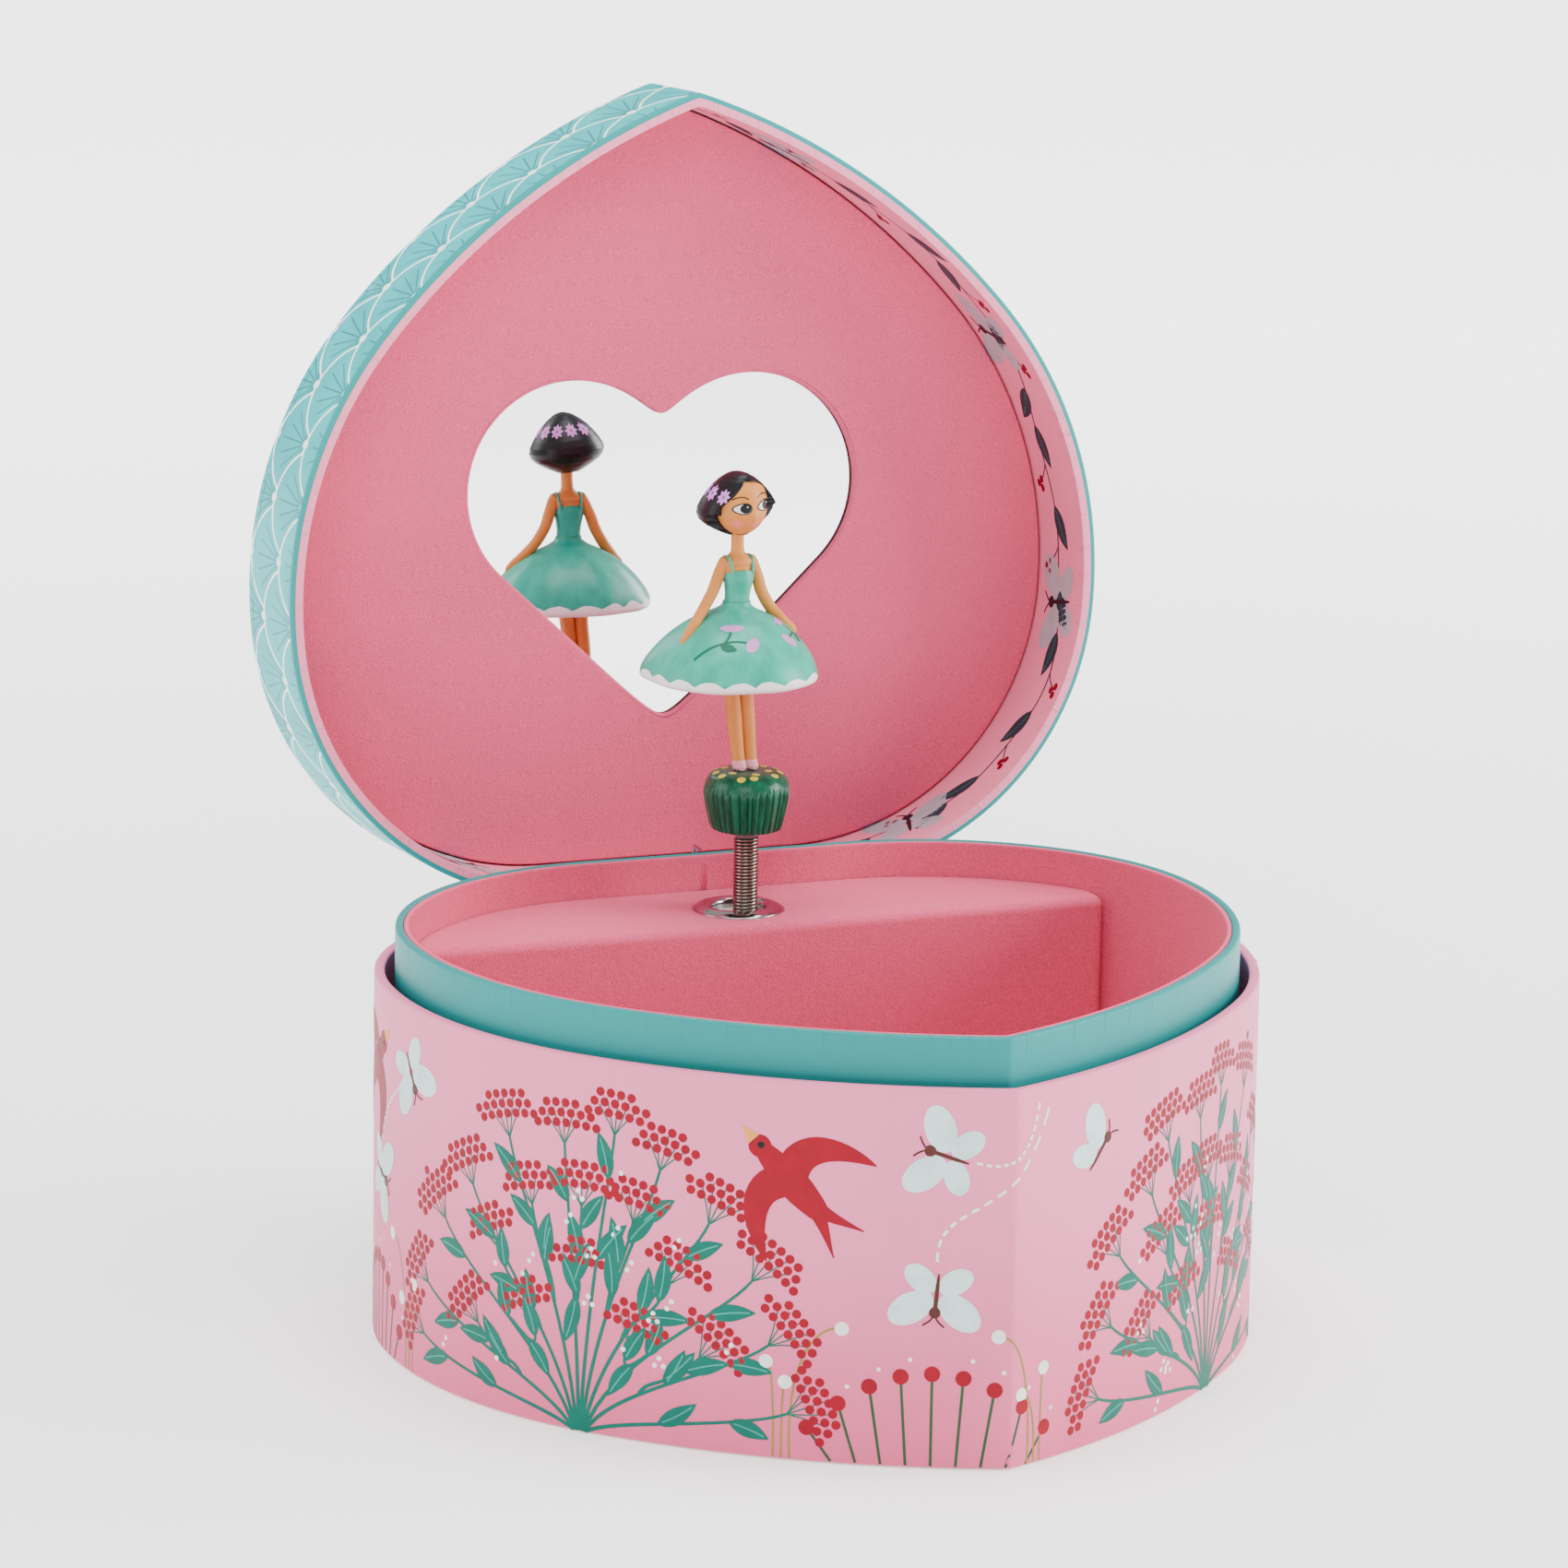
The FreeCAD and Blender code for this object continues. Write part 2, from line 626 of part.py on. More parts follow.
def mainspring_barrel():
    """Drum whose front flange carries a ring of face teeth that drives both pinions."""
    rim = face_wheel_radius + face_rim_width / 2
    shape = rod((0, wheel_face_y, 0), (0, barrel_front, 0), rim)
    for index in range(face_wheel_teeth):
        tooth = box((face_wheel_radius - face_rim_width / 2, wheel_face_y - face_tooth_height,
                     -face_tooth_width / 2),
                    (rim - 0.2, wheel_face_y + 0.1, face_tooth_width / 2))
        tooth.rotate(Vector(0, 0, 0), Y_AXIS, (index + 0.5) * 360.0 / face_wheel_teeth)
        shape = shape.fuse(tooth)
    drum = rod((0, barrel_front - 0.1, 0), (0, barrel_back, 0), barrel_radius)
    drum = drum.cut(rod((0, barrel_front, 0), (0, barrel_back + 1, 0), barrel_radius - barrel_wall))
    shape = shape.fuse(drum)
    shape = shape.cut(rod((0, 0, 0), (0, body_depth, 0), arbor_radius + running_gap))
    return moved(shape.removeSplitter(), 0, 0, arbor_height)


def barrel_lid():
    disc = rod((0, barrel_back - barrel_lid_thickness, 0), (0, barrel_back, 0), barrel_radius - barrel_wall)
    disc = disc.cut(rod((0, 0, 0), (0, body_depth, 0), arbor_radius + running_gap))
    return moved(disc, 0, 0, arbor_height)


def mainspring():
    """Flat spiral strip of half circles, from the arbor's hub to the drum's wall."""
    inner = arbor_radius + 0.35
    outer = barrel_radius - barrel_wall - 0.2
    pitch = (outer - inner - mainspring_strip) / mainspring_turns
    edges = []
    for side in (0.0, mainspring_strip):
        x = inner + side
        for index in range(2 * mainspring_turns):
            grow = pitch / 2
            sign = 1 if index % 2 == 0 else -1
            start = sign * x
            end = -sign * (x + grow)
            centre = (start + end) / 2
            radius = abs(end - start) / 2
            edges.append(Part.Arc(Vector(start, 0, 0), Vector(centre, sign * radius, 0),
                                  Vector(end, 0, 0)).toShape())
            x += grow
    for x in (inner, inner + pitch * mainspring_turns):
        edges.append(Part.makeLine(Vector(x, 0, 0), Vector(x + mainspring_strip, 0, 0)))
    height = barrel_depth - barrel_lid_thickness - 1.0
    strip = Part.Face(Part.Wire(Part.__sortEdges__(edges))).extrude(Vector(0, 0, height))
    return moved(z_to_y(strip), 0, barrel_front + 0.5, arbor_height)


def winding_arbor():
    tail = back_y + key_stand_off + key_grip_depth
    return rod((0, frame_front, arbor_height), (0, tail, arbor_height), arbor_radius)


def ratchet_wheel():
    """Saw-toothed wheel on the arbor; its teeth lean so the key turns one way only."""
    points = []
    for index in range(ratchet_teeth):
        angle = 2 * math.pi * (index + 0.5) / ratchet_teeth
        tip = angle + 2 * math.pi / ratchet_teeth * 0.98
        root = ratchet_radius - ratchet_tooth_depth
        points.append(Vector(root * math.cos(angle), root * math.sin(angle), 0))
        points.append(Vector(ratchet_radius * math.cos(tip), ratchet_radius * math.sin(tip), 0))
    disc = Part.Face(Part.makePolygon(points + [points[0]])).extrude(Vector(0, 0, wheel_thickness))
    disc = disc.cut(Part.makeCylinder(arbor_radius, 2 * wheel_thickness, Vector(0, 0, -1)))
    return moved(z_to_y(disc), 0, ratchet_y, arbor_height)


def click():
    """Pawl on its own pin; the nose rests just clear of the ratchet's teeth."""
    px, pz = click_pivot
    nose = Vector(-ratchet_radius * 0.62, 0, arbor_height + ratchet_radius * 0.86 + 0.05)
    root = Vector(px, 0, pz)
    along = nose.sub(root)
    along.normalize()
    across = Vector(-along.z, 0, along.x) * (click_width / 2)
    corners = [root + across, root - across, nose - across * 0.2, nose + across]
    arm = Part.Face(Part.makePolygon(corners + [corners[0]])).extrude(Vector(0, 1.2, 0))
    hub = rod((px, 0, pz), (px, 1.2, pz), 1.6)
    arm = moved(arm.fuse(hub), 0, ratchet_y + 0.15, 0)
    pin = rod((px, frame_front, pz), (px, ratchet_y + 1.35, pz), 0.65)
    return arm.fuse(pin).removeSplitter()


def winding_key():
    """Flat butterfly key with a round hub, pushed on the arbor's tail behind the box."""
    start = back_y + key_stand_off
    hub = rod((0, start, arbor_height), (0, start + key_hub_length, arbor_height), key_hub_radius)
    wing = box((-key_wing_span / 2, start + key_hub_length - 2, arbor_height - key_wing_thickness / 2),
               (key_wing_span / 2, start + key_hub_length + key_wing_height - 2,
                arbor_height + key_wing_thickness / 2))
    corners = [edge for edge in wing.Edges if abs(edge.tangentAt(edge.FirstParameter).z) > 0.99]
    wing = wing.makeFillet(key_wing_height / 2 - 0.5, corners)
    for side in (-1, 1):
        x = side * key_wing_span * 0.3
        y = start + key_hub_length + key_wing_height / 2 - 2
        wing = wing.cut(rod((x, y, 0), (x, y, 2 * arbor_height), 2.4))
    key = hub.fuse(wing)
    socket = rod((0, 0, arbor_height), (0, start + key_grip_depth, arbor_height), arbor_radius)
    return key.cut(socket).removeSplitter()


def small_pinion():
    return toothed_disc(pinion_teeth, pinion_root_radius, pinion_tip_radius, pinion_tooth_width,
                        pinion_tooth_width * 0.6, pinion_length, 0.0)


def cylinder_arbor():
    """Shaft of the pinned cylinder with the driving pinion at its inner end."""
    tail = train_wheel_x + wheel_thickness
    start = face_wheel_radius - pinion_length / 2
    shaft = rod((start, spindle_y, arbor_height), (tail, spindle_y, arbor_height), cylinder_arbor_radius)
    pinion = moved(z_to_x(small_pinion()), start, spindle_y, arbor_height)
    return shaft.fuse(pinion).removeSplitter()


def pinned_cylinder():
    drum = rod((0, 0, 0), (0, 0, cylinder_length), cylinder_radius)
    left = (cylinder_length - note_count * note_pitch) / 2
    for note in range(note_count):
        for pin in range(pins_per_note):
            angle = math.radians(137.5 * note + 360.0 / pins_per_note * pin + 19.0 * (pin % 2) + 20)
            x, y = math.cos(angle), math.sin(angle)
            height = left + (note + 0.5) * note_pitch
            tip = cylinder_radius + pin_rise
            base = cylinder_radius - 0.5
            drum = drum.fuse(rod((x * base, y * base, height), (x * tip, y * tip, height), pin_radius))
    drum = drum.cut(rod((0, 0, -1), (0, 0, cylinder_length + 1), cylinder_arbor_radius))
    return moved(z_to_x(drum), cylinder_start, spindle_y, arbor_height)


def train_wheel():
    pitch_radius = train_module * train_wheel_teeth / 2
    wheel = toothed_disc(train_wheel_teeth, pitch_radius - tooth_dedendum * train_module,
                         pitch_radius + tooth_addendum * train_module, train_module * 1.5,
                         train_module * 0.7, wheel_thickness, math.pi / train_wheel_teeth)
    wheel = wheel.cut(Part.makeCylinder(cylinder_arbor_radius, 9, Vector(0, 0, -1)))
    return moved(z_to_x(wheel), train_wheel_x, spindle_y, arbor_height)


def governor_arbor():
    pitch_radius = train_module * governor_teeth / 2
    pinion = toothed_disc(governor_teeth, pitch_radius - tooth_dedendum * train_module,
                          pitch_radius + tooth_addendum * train_module, train_module * 1.2,
                          train_module * 0.6, wheel_thickness, 0.0)
    pinion = moved(z_to_x(pinion), train_wheel_x, spindle_y, governor_z)
    shaft = rod((bearing_right, spindle_y, governor_z),
                (bearing_outer + frame_upright, spindle_y, governor_z), governor_arbor_radius)
    return shaft.fuse(pinion).removeSplitter()


def governor_fan():
    """Two-blade fan whose drag in the air sets the playing speed."""
    hub = rod((fan_x, 0, 0), (fan_x + fan_width, 0, 0), 1.5)
    half = fan_blade_thickness / 2
    blade = box((fan_x, -fan_radius, -half), (fan_x + fan_width, fan_radius, half))
    fan = hub.fuse(blade).cut(rod((0, 0, 0), (body_width, 0, 0), governor_arbor_radius))
    fan.rotate(Vector(0, 0, 0), X_AXIS, 90)
    return moved(fan.removeSplitter(), 0, spindle_y, governor_z)


def dancer_spindle():
    """Vertical shaft, with a tip that the dancer's spring sits on."""
    shaft = rod((0, spindle_y, spindle_seat_z), (0, spindle_y, bush_top), arbor_radius)
    tip_radius = spring_inner_radius - spring_seat_gap
    tip = rod((0, spindle_y, bush_top - 0.5), (0, spindle_y, bush_top + spring_seat), tip_radius)
    return shaft.fuse(tip).removeSplitter()


def spindle_pinion():
    pinion = small_pinion()
    pinion.rotate(Vector(0, 0, 0), Z_AXIS, 90)
    pinion = moved(pinion, 0, spindle_y, arbor_height + face_wheel_radius - pinion_length / 2)
    return pinion.cut(rod((0, spindle_y, 0), (0, spindle_y, neck_top), arbor_radius))


def stop_wire():
    """Rocking wire: its head hooks over the neck rim, its tail reaches the fan."""
    head_y = back_y - stop_wire_tip_y_from_back
    fan_middle = fan_x + fan_width / 2
    over_fan = governor_z + fan_radius + 4.0
    tail_y = spindle_y - fan_radius - 2.2
    points = [(stop_wire_x, back_y - neck_inner_offset, neck_top + 0.9),
              (stop_wire_x, head_y, neck_top + 0.9),
              (stop_wire_x, back_y - neck_offset + 0.7, stop_pivot_z),
              (stop_wire_x, spindle_y + 8.0, stop_pivot_z),
              (fan_middle, spindle_y + 4.0, over_fan),
              (fan_middle, tail_y, over_fan),
              (fan_middle, tail_y, governor_z)]
    return bent_rod(points, stop_wire_radius)


# --- dancer ---------------------------------------------------------------------------------
def dancer_spring():
    tube = rod((0, spindle_y, bush_top + 0.1), (0, spindle_y, plug_bottom), spring_outer_radius)
    return tube.cut(rod((0, spindle_y, 0), (0, spindle_y, plinth_top), spring_inner_radius))


def spring_plug():
    profile = [(plug_stem_radius, -plug_stem_length), (plug_stem_radius, 0),
               (spring_outer_radius, 0.02), (plug_radius, plug_height)]
    return moved(revolved(profile), 0, spindle_y, plug_bottom)


def dancer_plinth():
    top, low = plinth_top_radius, plinth_bottom_radius
    profile = [(low - 0.5, 0), (low, 0.5), (top - 0.1, plinth_height * 0.55), (top, plinth_height * 0.72),
               (top - 0.7, plinth_height * 0.92), (top - 1.8, plinth_height)]
    return moved(revolved(profile), 0, spindle_y, plinth_bottom)


def dancer_figure():
    """Moulded figure in one piece: legs, bell skirt, bodice, arms, neck, head and hair."""
    waist = skirt_hem_height + skirt_rise
    skirt = smooth_revolved([(skirt_radius - 0.4, skirt_hem_height - 0.4),
                             (skirt_radius, skirt_hem_height + 0.4),
                             (skirt_radius * 0.85, skirt_hem_height + skirt_rise * 0.45),
                             (skirt_radius * 0.55, skirt_hem_height + skirt_rise * 0.8),
                             (waist_radius, waist)])
    hollow = smooth_revolved([(skirt_radius - skirt_thickness, skirt_hem_height - cut_over),
                              (skirt_radius - skirt_thickness - 0.6, skirt_hem_height + cut_over),
                              (skirt_radius * 0.6, skirt_hem_height + skirt_rise * 0.4),
                              (1.0, skirt_hem_height + skirt_rise * 0.5)])
    shape = skirt.cut(hollow)
    bodice_top = waist + bodice_height
    shape = shape.fuse(revolved([(waist_radius, waist - 0.5), (waist_radius + 0.5, bodice_top - 1.0),
                                 (shoulder_radius, bodice_top + 1.5), (neck_radius, bodice_top + 2.6)]))
    head_z = bodice_top + 2.0 + neck_length + head_radius * 0.75
    shape = shape.fuse(rod((0, 0, bodice_top), (0, 0, head_z), neck_radius))
    shape = shape.fuse(Part.makeSphere(head_radius, Vector(0, -0.6, head_z)))
    hair = smooth_revolved([(3.0, -4.0), (hair_radius * 0.93, -1.6), (hair_radius, 0.4),
                            (hair_radius * 0.72, 4.0), (0, 6.2)])
    shape = shape.fuse(moved(hair, 0, 0.9, head_z))
    for side in (-1, 1):
        shoulder = (side * (shoulder_radius + 0.4), 0, bodice_top + 1.0)
        hand = (side * hand_reach, -2.6, waist - 4.6)
        shape = shape.fuse(bent_rod([shoulder, (side * hand_reach * 0.72, 0, waist + 1.0), hand], arm_radius))
        shape = shape.fuse(Part.makeSphere(arm_radius, Vector(*shoulder)))
    shape.rotate(Vector(0, 0, 0), Z_AXIS, figure_turn)
    shape = moved(shape, figure_lean_x, figure_lean_y, 0)
    across = Vector(leg_spread * math.cos(math.radians(figure_turn)),
                    leg_spread * math.sin(math.radians(figure_turn)), 0)
    hips = Vector(figure_lean_x, figure_lean_y, skirt_hem_height + skirt_rise * 0.7)
    for side in (-1, 1):
        foot = across * (side * leg_taper) + Vector(0, 0, foot_height / 4)
        leg = hips + across * side - foot
        shape = shape.fuse(Part.makeCone(ankle_radius, leg_radius, leg.Length, foot, leg))
    shape = shape.fuse(rod((0, 0.3, 0), (0, 0.3, foot_height), 2.4))
    return moved(shape.removeSplitter(), 0, spindle_y, plinth_top)


# --- build every node -----------------------------------------------------------------------
BASE_NODES = [bottom_paper, bottom_board, outer_wall, neck_wall, neck_lining, compartment_floor,
              mechanism_cover, eyelet, spindle_bush, hinge_tape_base, movement_frame, frame_screws,
              comb, comb_screws]
MOVING_NODES = [mainspring_barrel, barrel_lid, mainspring, winding_arbor, ratchet_wheel, winding_key,
                click, cylinder_arbor, pinned_cylinder, train_wheel, governor_arbor, governor_fan,
                dancer_spindle, spindle_pinion, stop_wire, dancer_spring, spring_plug,
                dancer_plinth, dancer_figure]
LID_NODES = [lid_wall, lid_lining, lid_top, lid_panel, mirror, panel_backing, hinge_tape_lid]

for build in BASE_NODES + MOVING_NODES:
    save(build.__name__, build())
for build in LID_NODES:
    save(build.__name__, opened(build()))
print("depth", round(body_depth, 2), "back y", round(back_y, 2), "spindle y", round(spindle_y, 2))
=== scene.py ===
"""Wind-up music box with a printed paper body, a fan-patterned lid, a heart mirror and a dancer.

Lengths inside the shape functions are in millimetres; piece() turns them into metres. The lid is
drawn closed and turned open with opened(). Print is laid out on flat sheets, as (along, up, lift),
and a sheet function wraps it on its wall.
"""
import math

import bmesh
import bpy
import numpy as np
from mathutils import Matrix, Vector


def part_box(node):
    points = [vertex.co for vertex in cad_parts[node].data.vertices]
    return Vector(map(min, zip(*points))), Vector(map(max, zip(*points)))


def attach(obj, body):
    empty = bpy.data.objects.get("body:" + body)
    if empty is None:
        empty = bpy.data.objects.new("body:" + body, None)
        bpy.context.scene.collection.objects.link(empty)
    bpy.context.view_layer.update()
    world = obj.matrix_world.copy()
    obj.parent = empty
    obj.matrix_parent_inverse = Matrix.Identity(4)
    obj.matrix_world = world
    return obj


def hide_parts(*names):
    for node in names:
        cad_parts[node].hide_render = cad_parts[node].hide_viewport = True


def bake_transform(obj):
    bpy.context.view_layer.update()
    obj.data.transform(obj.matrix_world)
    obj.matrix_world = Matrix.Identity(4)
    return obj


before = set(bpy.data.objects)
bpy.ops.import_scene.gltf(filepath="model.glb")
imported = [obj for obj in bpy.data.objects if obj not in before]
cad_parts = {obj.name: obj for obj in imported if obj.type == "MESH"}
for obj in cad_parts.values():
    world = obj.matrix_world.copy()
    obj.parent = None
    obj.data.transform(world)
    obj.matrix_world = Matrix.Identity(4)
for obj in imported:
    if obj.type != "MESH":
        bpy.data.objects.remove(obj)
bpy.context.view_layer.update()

bl_info = {
    "name": "Wind-up music box",
    "version": (1, 0, 0),
    "blender": (4, 5, 0),
    "location": "3D View > Sidebar > Music Box",
    "description": "Builds the paper, flock, metal and painted surfaces of a dancer music box",
    "category": "Object",
}

MM = 0.001
TAU = 2 * math.pi


# --- sizes and colours ----------------------------------------------------------------------
def length(name, description, default):
    return bpy.props.FloatProperty(name=name, description=description, default=default * MM,
                                   min=0.0, unit="LENGTH", subtype="DISTANCE", precision=5)


def angle(name, description, default):
    return bpy.props.FloatProperty(name=name, description=description,
                                   default=math.radians(default), unit="ROTATION", subtype="ANGLE")


def colour(name, description, *default):
    return bpy.props.FloatVectorProperty(name=name, description=description, subtype="COLOR",
                                         size=3, min=0.0, max=1.0, default=default)


class BoxSizes(bpy.types.PropertyGroup):
    corner_slope: angle("Corner slope", "Front walls to the X axis at the front corner", 19.0)
    flank_turn: angle("Flank turn", "Angle turned by the front flank's arc", 30.5)
    shoulder_turn: angle("Shoulder turn", "Angle turned by the shoulder's arc", 46.0)
    flank_radius: length("Flank radius", "Radius of the front flanks", 145.6)
    back_radius: length("Back radius", "Radius of the back corners", 56.0)
    corner_round: length("Corner rounding", "Softness of the front corner's crease", 0.45)
    neck_offset: length("Neck offset", "Outer wall's face to the neck's face", 3.8)
    neck_wall: length("Neck wall", "Thickness of the neck", 1.6)
    neck_lining: length("Neck lining", "Thickness of the flocked lining", 0.9)
    wall: length("Wall", "Thickness of the outer wall and the lid wall", 2.0)
    lid_lining: length("Lid lining", "Thickness of the lid's inner paper", 0.5)
    panel_gap: length("Panel gap", "Gap round the lid's flocked panel", 0.35)
    paper_round: length("Paper rounding", "Edge radius of the papered board", 0.5)
    heart_width: length("Heart width", "Width of the mirror's opening", 79.6)
    heart_height: length("Heart height", "Notch side to tip, over the lobes", 66.7)
    heart_tip: length("Heart tip", "Hinge line to the tip of the heart", 30.2)
    heart_lobe: length("Heart lobe", "Radius of the heart's lobes", 21.5)
    fan_spacing: length("Fan spacing", "Distance between fans in one row of the lid's print", 23.0)
    fan_stretch: bpy.props.FloatProperty(name="Fan stretch", description="Fan height over half its width",
                                         default=1.5)
    umbel_dot: length("Berry dot", "Diameter of one printed berry", 1.75)
    spring_wire: length("Spring wire", "Wire diameter of the dancer's spring", 0.62)
    figure_turn: angle("Figure turn", "Angle the figure faces right of the front corner", 5.5)
    head_turn: angle("Head turn", "Further turn of the head", 6.0)
    head_tilt: angle("Head tilt", "Lean of the head to its right", 5.0)
    figure_lean: length("Figure lean", "Offset of the waist from the spindle's axis", 2.8)


class BoxColours(bpy.types.PropertyGroup):
    pink_paper: colour("Pink paper", "Ground of the body's print", 0.80, 0.20, 0.36)
    # painted shade: a deeper pink that darkens the wall's ground towards its bottom edge
    pink_painted_shade: colour("Deep pink", "Ground near the bottom edge", 0.70, 0.11, 0.23)
    flock: colour("Flock", "Pile of the lining and panel", 0.72, 0.095, 0.195)
    aqua: colour("Aqua", "Ground of the lid's fan print", 0.02, 0.42, 0.44)
    turquoise: colour("Turquoise", "Plain paper of the neck", 0.012, 0.235, 0.23)
    berry: colour("Berry red", "Berries, pins and bird", 0.29, 0.0, 0.013)
    leaf: colour("Leaf", "Teal leaves and twigs", 0.0, 0.135, 0.095)
    slate: colour("Slate leaf", "Dark leaves inside the lid", 0.004, 0.04, 0.045)
    dress: colour("Dress", "Mint paint of the dress", 0.015, 0.34, 0.235)
    skin: colour("Skin", "Figure's skin paint", 0.56, 0.205, 0.042)
    hair: colour("Hair", "Figure's hair paint", 0.006, 0.006, 0.007)
    plinth: colour("Plinth", "Green paint of the plinth", 0.002, 0.10, 0.05)


def sizes():
    return bpy.context.scene.music_box_sizes


def colours():
    return bpy.context.scene.music_box_colours


def node_mm(node):
    """Lowest and highest corner of a CAD node, in millimetres."""
    low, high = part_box(node)
    return np.array(low) / MM, np.array(high) / MM


WALL_LOW, WALL_HIGH = node_mm("outer_wall")
NECK_HIGH = node_mm("neck_wall")[1][2]
COVER_TOP = node_mm("mechanism_cover")[1][2]
FLOOR_TOP = node_mm("bottom_board")[1][2]
FRONT_Y, BACK_Y = WALL_LOW[1], WALL_HIGH[1]
RIM_GAP = 0.3                       # lid rim above the wall's edge when closed
RIM_Z = WALL_HIGH[2] + RIM_GAP
HINGE_Z = WALL_HIGH[2] + RIM_GAP / 2
LID_OPEN = math.radians(93.0)
LID_TOP_Z = RIM_Z + 26.7
LID_BOARD_Z = LID_TOP_Z - 2.5
PANEL_Z = WALL_HIGH[2] + 21.3
SPINDLE_Y = float(np.mean([corner[1] for corner in node_mm("eyelet")]))
SPRING_LOW, SPRING_HIGH = (corner[2] for corner in node_mm("dancer_spring"))
PLINTH_LOW, PLINTH_HIGH = (corner[2] for corner in node_mm("dancer_plinth"))


# --- the plan -------------------------------------------------------------------------------
def plan_arcs():
    """Headings, radii and centres of the right half's three arcs, and half the straight back.

    The arcs start at the front corner and turn left: flank, shoulder, back corner. The
    shoulder's radius is what makes the half width come out right.
    """
    s = sizes()
    turns = [s.corner_slope, s.flank_turn, s.shoulder_turn]
    headings = np.append(np.cumsum(turns), math.pi)
    flank, back = s.flank_radius / MM, s.back_radius / MM
    half_width = WALL_HIGH[0]
    sines = np.sin(headings)
    shoulder = (half_width - flank * (sines[1] - sines[0])) / (1 - sines[1])
    radii = np.array([flank, shoulder, back])
    start = np.array([0.0, FRONT_Y])
    centres = []
    for radius, begin, end in zip(radii, headings[:-1], headings[1:]):
        centres.append(start + radius * np.array([-math.sin(begin), math.cos(begin)]))
        start = centres[-1] + radius * np.array([math.sin(end), -math.cos(end)])
    return headings, radii, np.array(centres), start[0]


def half_perimeter():
    headings, radii, _, flat = plan_arcs()
    return float((radii * np.diff(headings)).sum() + flat)


def plan(along, inset=0.0):
    """Point and outward normal of the outline drawn inwards by inset, at a distance along it.

    along is measured from the front corner, positive to the right, in the outer face's
    length. |along| is softened near zero, which rounds the corner's crease. Each arc keeps
    its centre and loses inset from its radius; the flank starts where it meets the middle.
    """
    headings, radii, centres, flat = plan_arcs()
    along = np.asarray(along, float)
    run = np.sqrt(along ** 2 + (sizes().corner_round / MM) ** 2)
    side = along / run
    starts = np.concatenate([[0.0], np.cumsum(radii * np.diff(headings))])
    arc = np.clip(np.searchsorted(starts, run, side="right") - 1, 0, 3)
    curve = np.minimum(arc, 2)
    heading = headings[curve] + (run - starts[curve]) / radii[curve]
    first = math.asin(-centres[0][0] / (radii[0] - inset))
    share = (heading - headings[0]) / (headings[1] - headings[0])
    heading = np.where(arc == 0, first + share * (headings[1] - first), heading)
    heading = np.minimum(heading, math.pi)
    reach = radii[curve] - inset
    x = centres[curve, 0] + reach * np.sin(heading)
    y = centres[curve, 1] - reach * np.cos(heading)
    straight = arc == 3
    x = np.where(straight, flat - (run - starts[3]), x)
    y = np.where(straight, BACK_Y - inset, y)
    normal = np.stack([side * np.sin(heading), -np.cos(heading)], -1)
    normal /= np.linalg.norm(normal, axis=-1, keepdims=True)
    return np.stack([side * x, y], -1), normal


def plan_steps(count=420):
    """Distances along the outline for a closed ring, closer together at the front corner."""
    half = half_perimeter()
    even = (np.arange(count) + 0.5) / count * 2 - 1
    near = np.array([-1.6, -1.1, -0.75, -0.45, -0.22, 0, 0.22, 0.45, 0.75, 1.1, 1.6])
    steps = even * half
    steps = steps[np.abs(steps) > 1.9]
    return np.sort(np.concatenate([steps, near]))


def opened(points):
    """Turns closed-lid points open about the hinge line, which runs along X at the back."""
    c, s = math.cos(LID_OPEN), math.sin(LID_OPEN)
    y, z = points[..., 1] - BACK_Y, points[..., 2] - HINGE_Z
    return np.stack([points[..., 0], BACK_Y + y * c + z * s, HINGE_Z - y * s + z * c], -1)


# --- surfaces -------------------------------------------------------------------------------
def grid_quads(rows, columns, close_rows=False, close_columns=True):
    """Four-cornered faces between neighbours of a rows by columns grid of points."""
    i = np.arange(rows if close_rows else rows - 1)[:, None]
    j = np.arange(columns if close_columns else columns - 1)[None, :]
    i, j = np.broadcast_arrays(i, j)
    below, right = (i + 1) % rows, (j + 1) % columns
    corners = [i * columns + j, i * columns + right, below * columns + right, below * columns + j]
    return np.stack(corners, -1).reshape(-1, 4)


